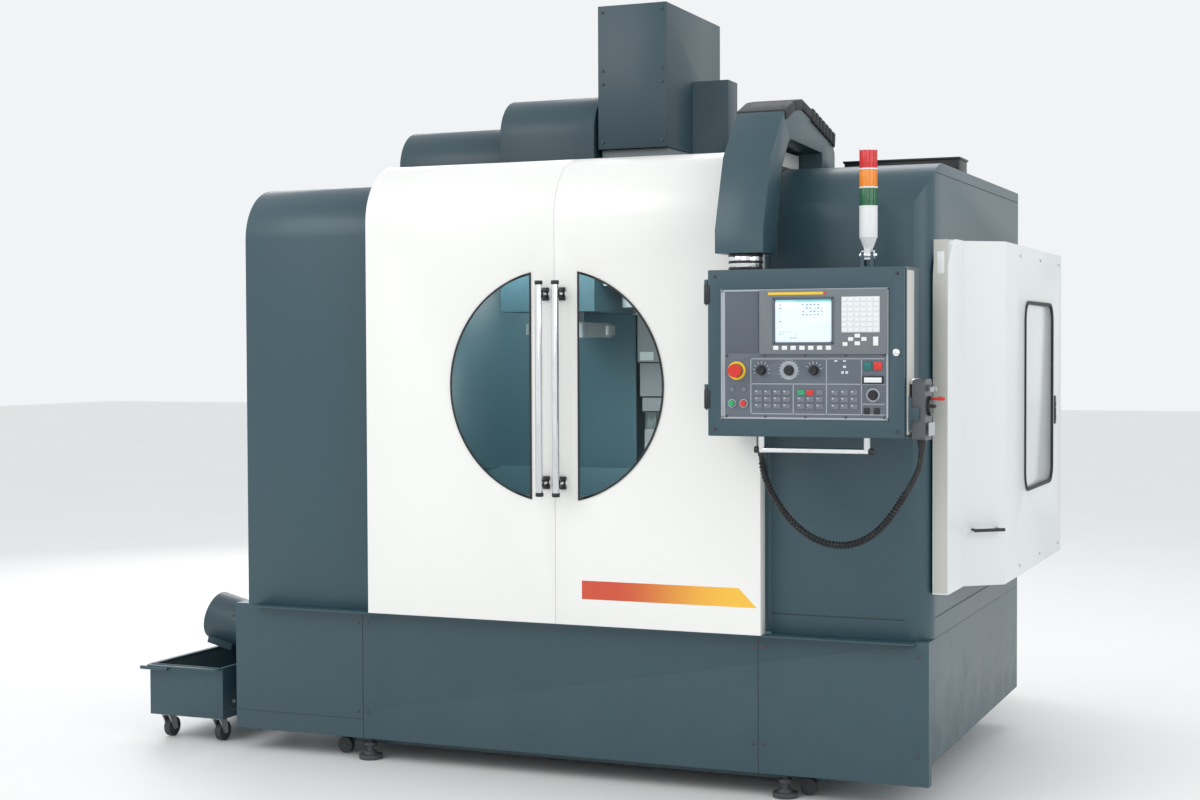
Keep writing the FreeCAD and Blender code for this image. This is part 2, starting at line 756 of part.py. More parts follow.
def build_head():
    block = box(
        "head_block",
        (-S.head_half, S.head_front, S.head_low), (S.head_half, S.plate_front + 10, S.head_high),
    )
    plate = box(
        "head_plate",
        (-S.plate_half, S.plate_front, S.head_low),
        (S.plate_half, S.column_front - S.joint_gap, S.head_high),
    )
    nose = rod("head_nose", (0, S.spindle_y, S.nose_low), S.nose_radius, S.head_low + 20 - S.nose_low)
    tools = [rod(
        "head_bore", (0, S.spindle_y, S.nose_low - 10), S.spindle_radius + S.joint_gap,
        S.spindle_high + 5 - (S.nose_low - 10),
    )]
    for side, name in ((-1, "left"), (1, "right")):
        x = side * S.rail_x
        half = S.rail_width / 2 + S.joint_gap
        tools.append(box(
            f"head_groove_{name}",
            (x - half, S.column_front - S.rail_depth - S.joint_gap, S.head_low - 10),
            (x + half, S.column_front + 10, S.head_high + 10),
        ))
    keep("spindle_head", cut("spindle_head_casting", fuse("head_solid", block, plate, nose), *tools))


def build_spindle():
    quill = rod("spindle_quill", (0, S.spindle_y, S.spindle_low), S.spindle_radius,
                S.spindle_high - S.spindle_low)
    bore = rod("spindle_bore", (0, S.spindle_y, S.spindle_low - 5), S.taper_bore, S.taper_depth + 5)
    drawbar = rod("spindle_drawbar", (0, S.spindle_y, S.spindle_low), S.drawbar_bore, 140)
    key_slot = box(
        "spindle_key_slot",
        (-8, S.spindle_y - S.spindle_radius - 5, S.spindle_low - 5),
        (8, S.spindle_y + S.spindle_radius + 5, S.spindle_low + 8),
    )
    keep("spindle", cut("spindle_turned", quill, bore, drawbar, key_slot))


def build_head_cover():
    wall = S.sheet
    outside = box(
        "head_cover_outside",
        (-S.head_cover_half, S.head_cover_front, S.head_high),
        (S.head_cover_half, S.head_cover_back, S.head_cover_top),
    )
    inside = box(
        "head_cover_inside",
        (-S.head_cover_half + wall, S.head_cover_front + wall, S.head_high - 10),
        (S.head_cover_half - wall, S.head_cover_back - wall, S.head_cover_top - wall),
    )
    side_outside = box(
        "side_box_outside",
        (S.head_cover_half - wall, S.side_box_front, S.head_high),
        (S.side_box_x, S.side_box_back, S.side_box_top),
    )
    side_inside = box(
        "side_box_inside",
        (S.head_cover_half - wall - 10, S.side_box_front + wall, S.head_high - 10),
        (S.side_box_x - wall, S.side_box_back - wall, S.side_box_top - wall),
    )
    shell = fuse("head_cover_blocks", outside, side_outside)
    keep("head_cover", cut("head_cover_sheet", shell, inside, side_inside))


def build_way_cover():
    half = S.way_cover_half
    face = S.plate_front + 10
    plate = box("way_cover_face", (-half, face, S.way_cover_low), (half, face + S.sheet, S.head_low))
    flanges = []
    for side, name in ((-1, "left"), (1, "right")):
        low_x, high_x = (-half, -half + S.sheet) if side < 0 else (half - S.sheet, half)
        flanges.append(box(
            f"way_cover_flange_{name}",
            (low_x, face, S.way_cover_low), (high_x, face + 40, S.head_low),
        ))
    keep("way_cover", fuse("way_cover_sheet", plate, *flanges))


def build_nozzles():
    """Two segmented coolant hoses that hang from the head beside the spindle."""
    pieces = []
    for number, lean in enumerate((0, 34)):
        x = S.nozzle_x + lean * 0.5
        y = S.nozzle_y + lean
        pieces.append(rod(f"nozzle_block_{number}", (x, y, S.head_low - 20), 14, 20))
        length = (S.head_low - 20 - S.nozzle_low - 40) / 9
        for link in range(9):
            z = S.nozzle_low + 40 + link * length
            pieces.append(taper(f"nozzle_link_{number}_{link}", (x, y, z), 7, 10, length))
        pieces.append(taper(f"nozzle_tip_{number}", (x, y, S.nozzle_low), 4, 8, 40))
    keep("coolant_nozzles", fuse("coolant_nozzle_pair", *pieces))


# ---------------------------------------------------------------- tool changer


def rolled_cover(name, low, high, back_open):
    """A folded cover with a rolled front top, open below and, if asked, at the back."""
    wall = S.sheet
    outline = [(low[1], low[2]), (low[1], high[2]), (high[1], high[2]), (high[1], low[2])]
    outside = prism(f"{name}_outside", "YZ", outline, low[0], high[0], [(1, S.changer_roll)])
    rear = high[1] + 10 if back_open else high[1] - wall
    inner = [
        (low[1] + wall, low[2] - 10), (low[1] + wall, high[2] - wall),
        (rear, high[2] - wall), (rear, low[2] - 10),
    ]
    roll = [(1, S.changer_roll - wall)]
    inside = prism(f"{name}_inside", "YZ", inner, low[0] + wall, high[0] - wall, roll)
    return cut(f"{name}_sheet", outside, inside)


def build_changer_covers():
    cover = rolled_cover(
        "changer_cover",
        (-S.changer_left, S.changer_front, S.changer_low),
        (-S.changer_right, S.changer_back, S.changer_top),
        False,
    )
    floor = box(
        "changer_floor",
        (-S.changer_left, S.changer_front, S.changer_low),
        (-S.changer_right, S.changer_back, S.changer_low + 12),
    )
    bore = rod(
        "changer_bore", (-S.arm_x, S.spindle_y, S.changer_low - 10), S.arm_shaft + S.joint_gap, 40
    )
    keep("changer_cover", cut("changer_cover_folded", fuse("changer_cover_solid", cover, floor), bore))
    keep("magazine_cover", rolled_cover(
        "magazine_cover",
        (-S.magazine_left, S.magazine_front, S.roof_z),
        (-S.magazine_right, S.magazine_back, S.magazine_top),
        False,
    ))


def build_magazine():
    depth = S.disc_back - S.disc_front
    disc = rod("disc_plate", (-S.disc_x, S.disc_front, S.disc_z), S.disc_radius, 30, "y")
    hub = rod("disc_hub", (-S.disc_x, S.disc_front, S.disc_z), S.axle_radius + 25, depth, "y")
    pots = []
    holes = [rod(
        "disc_bore", (-S.disc_x, S.disc_front - 10, S.disc_z),
        S.axle_radius + S.joint_gap, depth + 20, "y",
    )]
    count = round(S.pot_count.value)
    for number in range(count):
        turn = math.tau * number / count
        x = -S.disc_x + S.pot_circle * math.cos(turn)
        z = S.disc_z + S.pot_circle * math.sin(turn)
        pots.append(rod(f"pot_{number}", (x, S.disc_front, z), S.pot_radius, depth, "y"))
        holes.append(rod(f"pot_bore_{number}", (x, S.disc_front - 10, z), S.taper_bore, depth, "y"))
    keep("tool_magazine", cut("tool_magazine_disc", fuse("disc_solid", disc, hub, *pots), *holes))


def build_change_arm():
    """A double-ended arm on a short shaft, parked clear of the head; its mouths reach the spindle."""
    mouth = S.arm_mouth_depth.value
    reach = S.arm_x.value + mouth
    low = S.arm_low.value
    thick = S.arm_high.value - low
    beam = Part.makeBox(2 * reach - 60, 64, thick, Vector(-reach + 30, -32, low))
    hub = Part.makeCylinder(70, thick, Vector(0, 0, low))
    shape = beam.fuse(hub)
    for end in (-1, 1):
        jaw = Part.makeCylinder(52, thick - 20, Vector(end * (reach - 52), 0, low + 10))
        opening = Part.makeCylinder(32, thick + 20, Vector(end * (reach - mouth), 0, low - 10))
        shape = shape.fuse(jaw).cut(opening)
    shape = shape.fuse(Part.makeCylinder(
        S.arm_shaft.value, S.changer_low.value + 60 - low, Vector(0, 0, low)
    ))
    collar_low = S.changer_low.value + 12 + S.joint_gap.value
    shape = shape.fuse(Part.makeCylinder(S.arm_shaft.value + 14, 20, Vector(0, 0, collar_low)))
    shape = shape.removeSplitter()
    shape.rotate(Vector(), Vector(0, 0, 1), S.arm_angle.value)
    shape.translate(Vector(-S.arm_x.value, S.spindle_y.value, 0))
    keep_code_shape("change_arm", shape.copy())


# ---------------------------------------------------------------- cabinet, tank


def build_cabinet():
    wall = S.sheet
    low = (-S.cabinet_left, S.column_back, S.cabinet_low)
    high = (S.cabinet_right, S.cabinet_back, S.cabinet_high)
    outside = box("cabinet_outside", low, high)
    inside = box(
        "cabinet_inside",
        (low[0] + wall, low[1] + wall, low[2] + wall),
        (high[0] - wall, high[1] + 10, high[2] - wall),
    )
    keep("electrical_cabinet", cut("cabinet_sheet", outside, inside))
    door_face = S.cabinet_back + S.joint_gap
    leaf = box(
        "cabinet_leaf",
        (low[0], door_face, S.cabinet_low),
        (high[0], door_face + S.cabinet_door_thick, S.cabinet_high),
    )
    knob = rod(
        "cabinet_latch", (low[0] + 60, door_face + S.cabinet_door_thick, 1100), 16, 12, "y"
    )
    keep("cabinet_door", fuse("cabinet_door_leaf", leaf, knob))


def build_tank():
    wall = S.sheet
    plan = [
        (-S.tank_left, S.tank_low), (S.tank_right - 60, S.tank_low),
        (S.tank_right, S.tank_high), (-S.tank_left, S.tank_high),
    ]
    outside = prism("tank_outside", "XZ", plan, S.tank_front, S.tank_back)
    inside = box(
        "tank_inside",
        (-S.tank_left + wall, S.tank_front + wall, S.tank_low + wall),
        (S.tank_right - 75, S.tank_back - wall, S.tank_high + 10),
    )
    parts = [cut("tank_tray", outside, inside)]
    spots = [(x, end) for x in (-S.tank_wheel_left, S.tank_wheel_right) for end in ("front", "rear")]
    for number, (x, end) in enumerate(spots):
        if end == "front":
            start, length = S.tank_front - 32, 32
        else:
            start, length = S.tank_back, 32
        parts.append(rod(f"tank_axle_{number}", (x, start, S.tank_wheel), 5, length, "y"))
        near = S.tank_front - 8 if end == "front" else S.tank_back
        parts.append(box(
            f"tank_axle_plate_{number}",
            (x - 16, near, S.tank_wheel - 10), (x + 16, near + 8, S.tank_low + 50),
        ))
    keep("coolant_tank", fuse("coolant_tank_sheet", *parts))
    wheel_x = {"tank_left_wheels": -S.tank_wheel_left, "tank_right_wheels": S.tank_wheel_right}
    radius = S.tank_wheel
    for name, x in wheel_x.items():
        wheels = []
        for end, start in (("front", S.tank_front - 31), ("rear", S.tank_back + 9)):
            tyre = rod(f"{name}_{end}_tyre", (x, start, radius), radius, S.tank_wheel_width, "y")
            bore = rod(f"{name}_{end}_bore", (x, start - 5, radius), 5 + S.joint_gap, 40, "y")
            wheels.append(cut(f"{name}_{end}", tyre, bore))
        group = doc.addObject("Part::Compound", f"{name}_pair")
        group.Links = wheels
        keep(name, group)


# ---------------------------------------------------------------- chip auger and cart


def auger_place(shape):
    """Lay a shape made along +X from the outlet end onto the auger's tilted axis."""
    shape.rotate(Vector(), Vector(0, 1, 0), S.auger_tilt.value)
    shape.translate(Vector(-S.auger_end_x.value, S.auger_y.value, S.auger_end_z.value))
    return shape.copy()


def build_auger():
    radius = S.auger_radius.value
    wall = S.auger_wall.value
    length = S.auger_length.value
    along = Vector(1, 0, 0)
    gap = S.joint_gap.value
    shaft = S.auger_shaft.value
    tube = Part.makeCylinder(radius, length, Vector(), along)
    bore = Part.makeCylinder(radius - wall, length, Vector(wall, 0, 0), along)
    shaft_hole = Part.makeCylinder(shaft + gap, 3 * wall, Vector(-wall, 0, 0), along)
    chute_wide = 110
    chute_drop = 6
    chute = Part.makeBox(
        chute_wide, 120, radius + chute_drop, Vector(14, -60, -radius - chute_drop)
    )
    chute_hollow = Part.makeBox(
        chute_wide - 2 * wall, 120 - 2 * wall, radius + 60, Vector(14 + wall, -60 + wall, -radius - 60)
    )
    shell = tube.fuse(chute).cut(bore).cut(shaft_hole).cut(chute_hollow)
    keep_code_shape("auger_tube", auger_place(shell.removeSplitter()))
    screw = Part.makeCylinder(shaft, length - 10, Vector(-12, 0, 0), along)
    flight_length = length - 60
    pitch = S.flight_pitch.value
    helix = Part.makeHelix(pitch, flight_length, shaft - 2)
    reach = S.flight_radius.value
    profile = Part.makePolygon([
        Vector(shaft - 2, 0, -2), Vector(reach, 0, -2), Vector(reach, 0, 2),
        Vector(shaft - 2, 0, 2), Vector(shaft - 2, 0, -2),
    ])
    flight = Part.Wire(helix).makePipeShell([profile], True, True)
    flight.rotate(Vector(), Vector(0, 1, 0), 90)
    flight.translate(Vector(25, 0, 0))
    keep_code_shape("auger_screw", auger_place(screw.fuse(flight)))


def build_cart():
    wall = S.sheet
    outside = box(
        "cart_outside",
        (-S.cart_left, S.cart_front, S.cart_low), (-S.cart_right, S.cart_back, S.cart_high),
    )
    inside = box(
        "cart_inside",
        (-S.cart_left + wall, S.cart_front + wall, S.cart_low + wall),
        (-S.cart_right - wall, S.cart_back - wall, S.cart_high + 10),
    )
    parts = [cut("cart_bin", outside, inside)]
    grip = S.cart_high - 12
    parts.append(rod("cart_grip", (-S.cart_left - 20, S.cart_front - 30, grip), 7, 120, "x"))
    for end, x in (("a", -S.cart_left + 6), ("b", -S.cart_left + 86)):
        parts.append(rod(f"cart_grip_post_{end}", (x, S.cart_front - 30, grip), 6, 32, "y"))
    rear_y = S.cart_back - S.caster_inset
    for side, x in (("left", -S.cart_left + S.caster_inset), ("right", -S.cart_right - S.caster_inset)):
        parts.append(caster_fork(f"cart_rear_{side}", x, rear_y, S.cart_low, 0))
    keep("cart_tray", fuse("cart_tray_sheet", *parts))
    wheels = []
    for side, x in (("left", -S.cart_left + S.caster_inset), ("right", -S.cart_right - S.caster_inset)):
        wheels.append(caster_wheel(f"cart_rear_wheel_{side}", x, rear_y))
        front_y = S.cart_front + S.caster_inset
        fork = caster_fork(f"cart_front_{side}", x, front_y, S.cart_low - S.joint_gap, 22)
        keep(f"cart_{side}_fork", fork)
        keep(f"cart_{side}_wheel", caster_wheel(f"cart_front_wheel_{side}", x, front_y + 22))
    group = doc.addObject("Part::Compound", "cart_rear_wheel_pair")
    group.Links = wheels
    keep("cart_rear_wheels", group)


def caster_fork(name, x, y, top, trail):
    """A pressed fork: top plate, two cheeks and the wheel's axle, set back by its trail."""
    half = S.cart_wheel_width / 2
    axle = y + trail
    plate = box(f"{name}_plate", (x - half - 6, y - 26, top - 6), (x + half + 6, y + 26, top))
    parts = [plate]
    for side, start in (("a", x - half - 6), ("b", x + half + 1)):
        parts.append(prism(
            f"{name}_cheek_{side}", "YZ",
            [
                (y - 24, top - 3), (y + 24, top - 3), (axle + 9, S.cart_wheel - 9),
                (axle - 9, S.cart_wheel - 9),
            ],
            start, start + 5,
        ))
    axle_length = S.cart_wheel_width + 12
    parts.append(rod(f"{name}_axle", (x - half - 6, axle, S.cart_wheel), 5, axle_length, "x"))
    return fuse(f"{name}_fork", *parts)


def caster_wheel(name, x, y):
    half = S.cart_wheel_width / 2
    width = S.cart_wheel_width
    tyre = rod(f"{name}_tyre", (x - half, y, S.cart_wheel), S.cart_wheel, width, "x")
    bore = rod(f"{name}_bore", (x - half - 5, y, S.cart_wheel), 5 + S.joint_gap, width + 10, "x")
    return cut(name, tyre, bore)


# ---------------------------------------------------------------- pendant

KNOBS = {
    "mode_knob": (S.mode_x, S.knob_z), "feed_knob": (S.feed_x, S.knob_z),
    "speed_knob": (S.speed_x, S.knob_z), "jog_knob": (S.jog_x, S.jog_z),
}
PUSH_BUTTONS = {"start_button": S.start_x, "stop_button": S.stop_x}


def build_pendant_arm():
    """The box-section arm: it stands on the roof, runs forward and comes down to the box."""
    left = S.leg_x - S.leg_half
    right = S.leg_x + S.leg_half
    outline = [
        (-208, S.collar_high), (-208, 1836), (-128, 2068), (10, 2222), (110, 2262), (200, 2276),
        (546, 2212), (604, 2140), (604, S.roof_z + 14), (446, S.roof_z + 14), (446, 2128),
        (70, 2140), (-14, 2036), (-66, 1822), (-66, S.collar_high),
    ]
    beam = prism("arm_beam", "YZ", outline, left, right, [(3, 60), (6, 50), (11, 50)])
    foot = rod("arm_foot", (S.leg_x, S.arm_pivot_y, S.roof_z + S.joint_gap), 76, 16)
    collar = rod(
        "arm_collar", (S.leg_x, S.leg_y, S.pendant_high + S.joint_gap), S.collar_radius,
        S.collar_high + 2 - S.pendant_high,
    )
    keep("pendant_arm", fuse("pendant_arm_weldment", beam, foot, collar))


def build_control_box():
    wall = 3
    unit_x = S.pendant_right + S.unit_stand_off
    outside = box(
        "box_outside",
        (S.pendant_left, S.pendant_split, S.pendant_low),
        (S.pendant_right, S.pendant_back, S.pendant_high),
    )
    inside = box(
        "box_inside",
        (S.pendant_left + wall, S.pendant_split - 10, S.pendant_low + wall),
        (S.pendant_right - wall, S.pendant_back - wall, S.pendant_high - wall),
    )
    parts = [cut("box_shell", outside, inside)]
    for number, z in enumerate((S.hinge_low, S.hinge_upper)):
        top = z + S.hinge_length + S.joint_gap
        pin_start = (S.hinge_x, S.hinge_y, z - 4)
        parts.append(rod(f"box_pin_{number}", pin_start, S.hinge_pin, S.hinge_length + 14))
        parts.append(rod(f"box_knuckle_{number}", (S.hinge_x, S.hinge_y, top), S.hinge_radius, 16))
        parts.append(box(
            f"box_leaf_{number}",
            (S.pendant_left - 6, S.hinge_y, top), (S.pendant_left, S.hinge_y + 42, top + 16),
        ))
    parts.append(rod(
        "box_gland", (772, S.unit_y, S.pendant_low - 28), S.gland_radius, 29
    ))
    parts.append(box(
        "unit_holder",
        (S.pendant_right - 1, S.unit_y - S.unit_half - 8, S.unit_low + 30),
        (unit_x, S.unit_y + S.unit_half + 8, S.unit_low + 130),
    ))
    for end, y in (("front", S.unit_y - S.unit_half - 8), ("back", S.unit_y + S.unit_half + 1)):
        parts.append(box(
            f"unit_holder_{end}",
            (unit_x - 1, y, S.unit_low + 60), (unit_x + S.unit_depth * 0.6, y + 7, S.unit_low + 100),
        ))
    knuckle_ears = []
    for side in (-1, 1):
        x = S.tower_x + side * 15
        knuckle_ears.append(box(
            f"tower_ear_{side + 1}",
            (x - 5, S.tower_y - 16, S.pendant_high - 1), (x + 5, S.tower_y + 16, S.knuckle_z + 10),
        ))
    parts.append(rod("tower_foot_disc", (S.tower_x, S.tower_y, S.pendant_high - 1), 34, 7))
    parts.append(rod("tower_pin", (S.tower_x - 26, S.tower_y, S.knuckle_z), 5, 52, "x"))
    keep("control_box", fuse("control_box_sheet", *parts, *knuckle_ears))


def build_pendant_front():
    plate = box(
        "front_plate",
        (S.pendant_left + 3, S.pendant_face, S.pendant_low + 2),
        (S.pendant_right - 2, S.pendant_face + S.pendant_plate, S.pendant_high - 2),
    )
    opening = box(
        "front_opening",
        (S.panel_left, S.pendant_face - 10, S.panel_low),
        (S.panel_right, S.pendant_face + 40, S.panel_high),
    )
    parts = [cut("front_frame", plate, opening)]
    for number, z in enumerate((S.hinge_low, S.hinge_upper)):
        barrel = rod(f"front_barrel_{number}", (S.hinge_x, S.hinge_y, z), S.hinge_radius, S.hinge_length)
        leaf = box(
            f"front_leaf_{number}",
            (S.hinge_x, S.hinge_y - 4, z), (S.pendant_left + 6, S.hinge_y + 2, z + S.hinge_length),
        )
        pin = rod(
            f"front_pin_hole_{number}", (S.hinge_x, S.hinge_y, z - 10),
            S.hinge_pin + S.joint_gap, S.hinge_length + 20,
        )
        parts.append(cut(f"front_hinge_{number}", fuse(f"front_knuckle_{number}", barrel, leaf), pin))
    keep("pendant_front", fuse("pendant_front_plate", *parts))


def build_operator_panel():
    face = S.pendant_face - S.panel_proud
    plate = box(
        "panel_plate",
        (S.panel_left, face, S.panel_low), (S.panel_right, face + S.panel_thick, S.panel_high),
    )
    ring = rod("estop_ring", (S.estop_x, face - 6, S.estop_z), S.estop_ring, 7, "y")
    holes = [panel_hole("estop", S.estop_x, S.estop_z, 11 + S.joint_gap)]
    for name, (x, z) in KNOBS.items():
        holes.append(panel_hole(name, x, z, S.knob_shaft + S.joint_gap))
    for name, x in PUSH_BUTTONS.items():
        holes.append(panel_hole(name, x, S.push_z, S.push_radius - 1 + S.joint_gap))
    keep("operator_panel", cut("operator_panel_plate", fuse("panel_solid", plate, ring), *holes))


def panel_hole(name, x, z, radius):
    return rod(f"{name}_hole", (x, S.pendant_face - 20, z), radius, 60, "y")


def build_display():
    face = S.pendant_face - S.panel_proud
    unit = box(
        "display_plate",
        (S.display_left, face - S.display_proud, S.display_low), (S.panel_right, face, S.panel_high),
    )
    recess = box(
        "display_recess",
        (S.screen_left, face - 20, S.screen_low),
        (S.screen_right, face - S.display_proud + S.screen_recess, S.screen_high),
    )
    keep("display_unit", cut("display_unit_plate", unit, recess))


def build_controls():
    face = S.pendant_face - S.panel_proud
    inner = face + 6
    head = rod("estop_head", (S.estop_x, face - 32, S.estop_z), S.estop_radius, 19, "y")
    stem = rod("estop_stem", (S.estop_x, face - 14, S.estop_z), 11, 20, "y")
    keep("estop_button", fuse("estop_mushroom", head, stem))
    for name, (x, z) in KNOBS.items():
        grip = taper(
            f"{name}_grip", (x, face - 1 - S.knob_length, z), S.knob_radius - 3, S.knob_radius,
            S.knob_length, "y",
        )
        shaft = rod(f"{name}_shaft", (x, face - 4, z), S.knob_shaft, inner - face + 4, "y")
        pointer = box(
            f"{name}_pointer",
            (x - 2, face - 3 - S.knob_length, z - 2), (x + 2, face - 2, z + S.knob_radius - 2),
        )
        keep(name, fuse(f"{name}_turned", grip, shaft, pointer))
    for name, x in PUSH_BUTTONS.items():
        cap_back = face - S.push_travel - S.joint_gap
        cap = rod(f"{name}_cap", (x, cap_back - 5, S.push_z), S.push_radius, 5, "y")
        stem_start = (x, cap_back - 1, S.push_z)
        stem = rod(f"{name}_stem", stem_start, S.push_radius - 1, inner - cap_back + 1, "y")
        keep(name, fuse(f"{name}_moulding", cap, stem))


def build_towel_bar():
    bar = rod("bar_rod", (S.bar_left, S.bar_y, S.bar_z), S.bar_radius, S.bar_right - S.bar_left, "x")
    parts = [bar]
    for end, x in (("left", S.bar_left + 22), ("right", S.bar_right - 22)):
        parts.append(rod(f"bar_post_{end}", (x, S.bar_y, S.bar_z), 10, S.pendant_low - S.bar_z))
    keep("towel_bar", fuse("towel_bar_rod", *parts))


def build_handwheel_unit():
    unit_x = S.pendant_right + S.unit_stand_off
    body = prism(
        "unit_body", "YZ",
        [
            (S.unit_y - S.unit_half, S.unit_low), (S.unit_y + S.unit_half, S.unit_low),
            (S.unit_y + S.unit_half, S.unit_high), (S.unit_y - S.unit_half, S.unit_high),
        ],
        unit_x, unit_x + S.unit_depth,
        [(0, 14), (1, 14), (2, 20), (3, 20)],
    )
    hole = rod(
        "unit_dial_hole", (unit_x + 20, S.unit_y, S.dial_z), 6 + S.joint_gap, 60, "x"
    )
    selectors = []
    for number, y in enumerate((S.unit_y - 22, S.unit_y + 22)):
        start = (unit_x + S.unit_depth, y, S.unit_high - 26)
        selectors.append(rod(f"unit_selector_{number}", start, 9, 10, "x"))
    keep("handwheel_unit", fuse("unit_moulding", cut("unit_bored", body, hole), *selectors))
    dial = rod("dial_disc", (unit_x + S.unit_depth + 1, S.unit_y, S.dial_z), S.dial_radius, 9, "x")
    shaft = rod("dial_shaft", (unit_x + 24, S.unit_y, S.dial_z), 6, S.unit_depth - 20, "x")
    crank = rod(
        "dial_crank", (unit_x + S.unit_depth + 9, S.unit_y - 18, S.dial_z), 5, 18, "x"
    )
    keep("handwheel_dial", fuse("dial_turned", dial, shaft, crank))


# The handwheel's cord: straight down out of the gland, a long hanging bow, then up into the unit.
# Points are (x, z) in the plane through the gland and the unit.
CORD_ROUTE = [
    (772, 1165), (772, 1112), (790, 1042), (828, 975), (882, 912), (950, 868), (1028, 852),
    (1104, 872), (1166, 922), (1212, 988), (1252, 1052), (1282, 1118), (1282, 1187),
]


def tube_along(points, radius):
    """A round tube along straight runs joined by tangent arcs; returns it with its length."""
    edges = []
    radii = []
    start = points[0]
    for before, corner, after in zip(points, points[1:], points[2:]):
        run_in = corner - before
        run_out = after - corner
        turn = run_in.getAngle(run_out)
        bend = 0.45 * min(run_in.Length, run_out.Length) / math.tan(turn / 2)
        radii.append(round(bend))
        reach = bend * math.tan(turn / 2)
        unit_in = Vector(run_in).normalize()
        unit_out = Vector(run_out).normalize()
        arc_start = corner - unit_in * reach
        arc_end = corner + unit_out * reach
        inward = Vector(unit_out - unit_in).normalize()
        middle = corner + inward * (bend / math.cos(turn / 2) - bend)
        edges.append(Part.LineSegment(start, arc_start).toShape())
        edges.append(Part.Arc(arc_start, middle, arc_end).toShape())
        start = arc_end
    edges.append(Part.LineSegment(start, points[-1]).toShape())
    path = Part.Wire(edges)
    circle = Part.Circle(points[0], (points[1] - points[0]).normalize(), radius).toShape()
    tube = path.makePipeShell([Part.Wire([circle])], True, False)
    print("cord radii mm", radii)
    print("cord length mm", round(path.Length), "volume ratio",
          round(tube.Volume / (math.pi * radius ** 2 * path.Length), 4))
    return tube


def build_cord():
    points = [Vector(x, S.unit_y.value, z) for x, z in CORD_ROUTE]
    keep_code_shape("handwheel_cord", tube_along(points, S.cord_radius.value))


def build_tower():
    tongue = box(
        "tower_tongue",
        (S.tower_x - 9.7, S.tower_y - 14, S.knuckle_z - 14),
        (S.tower_x + 9.7, S.tower_y + 14, S.tower_foot - 20),
    )
    hole = rod("tower_tongue_hole", (S.tower_x - 30, S.tower_y, S.knuckle_z), 5 + S.joint_gap, 60, "x")
    knuckle = cut("tower_knuckle", tongue, hole)
    flange = taper(
        "tower_flange", (S.tower_x, S.tower_y, S.tower_foot - 34), 14, S.tower_radius - 1, 34
    )
    foot = (S.tower_x, S.tower_y, S.tower_foot)
    body = rod("tower_body_rod", foot, S.tower_radius, S.tower_white - S.tower_foot)
    keep("signal_tower", fuse("signal_tower_body", knuckle, flange, body))
    lenses = []
    levels = [S.tower_white, S.lens_green, S.lens_amber, S.lens_red]
    for name, low, high in zip(("green", "amber", "red"), levels, levels[1:]):
        lens = rod(f"lens_{name}", (S.tower_x, S.tower_y, low), S.tower_radius, high - low - S.lens_ring)
        ring = rod(
            f"lens_ring_{name}", (S.tower_x, S.tower_y, high - S.lens_ring),
            S.tower_radius + 1, S.lens_ring,
        )
        lenses.append(fuse(f"lens_{name}_moulding", lens, ring))
    group = doc.addObject("Part::Compound", "lens_stack")
    group.Links = lenses
    keep("tower_lenses", group)


# ---------------------------------------------------------------- build and export


def check_document():
    """Stop if any object of the document failed, or any sub-part is empty or not valid."""
    for item in doc.Objects:
        if "Invalid" in item.State or "Error" in item.State:
            raise RuntimeError(f"{item.Name} failed: {item.State}")
    for part in SUBPARTS:
        if part.Shape.isNull() or not part.Shape.isValid():
            raise RuntimeError(f"{part.Label} has no valid shape")


def main():
    build_bed()
    build_column()
    build_feet()
    build_left_guard()
    build_right_guard()
    build_skirt()
    build_rear_guard()
    build_roof()
    build_inner_guard()
    for side, word in ((-1, "left"), (1, "right")):
        build_door(side, f"{word}_door")
        build_window(side, f"{word}_window")
        build_handle(side, f"{word}_handle")
    build_side_cover()
    build_side_handle()
    build_saddle()
    build_table()
    build_head()
    build_spindle()
    build_head_cover()
    build_way_cover()
    build_nozzles()
    build_changer_covers()
    build_magazine()
    build_change_arm()
    build_cabinet()
    build_tank()
    build_auger()
    build_cart()
    build_pendant_arm()
    build_control_box()
    build_pendant_front()
    build_operator_panel()
    build_display()
    build_controls()
    build_towel_bar()
    build_handwheel_unit()
    build_cord()
    build_tower()
    doc.recompute()
    check_document()
    os.makedirs("parts", exist_ok=True)
    for part in SUBPARTS:
        part.Shape.exportStep(f"parts/{part.Label}.step")
        print(part.Label, "solids", len(part.Shape.Solids), "litres", round(part.Shape.Volume / 1e6, 2))
    print(len(SUBPARTS), "sub-parts")


main()
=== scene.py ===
# %% [markdown]
# # An enclosed machining centre, finished in Blender
#
# The CAD model is the skeleton of this scene: it says where every part is and how it moves. Here the
# parts get what a drawing office leaves out, which is rounded sheet edges, gaskets, keys, screws and
# paint. We load the CAD model first, because every later piece takes its place from it.

# %% Load the CAD model
import bpy
import json
import math
from contextlib import contextmanager
from itertools import product
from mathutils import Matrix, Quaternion, Vector

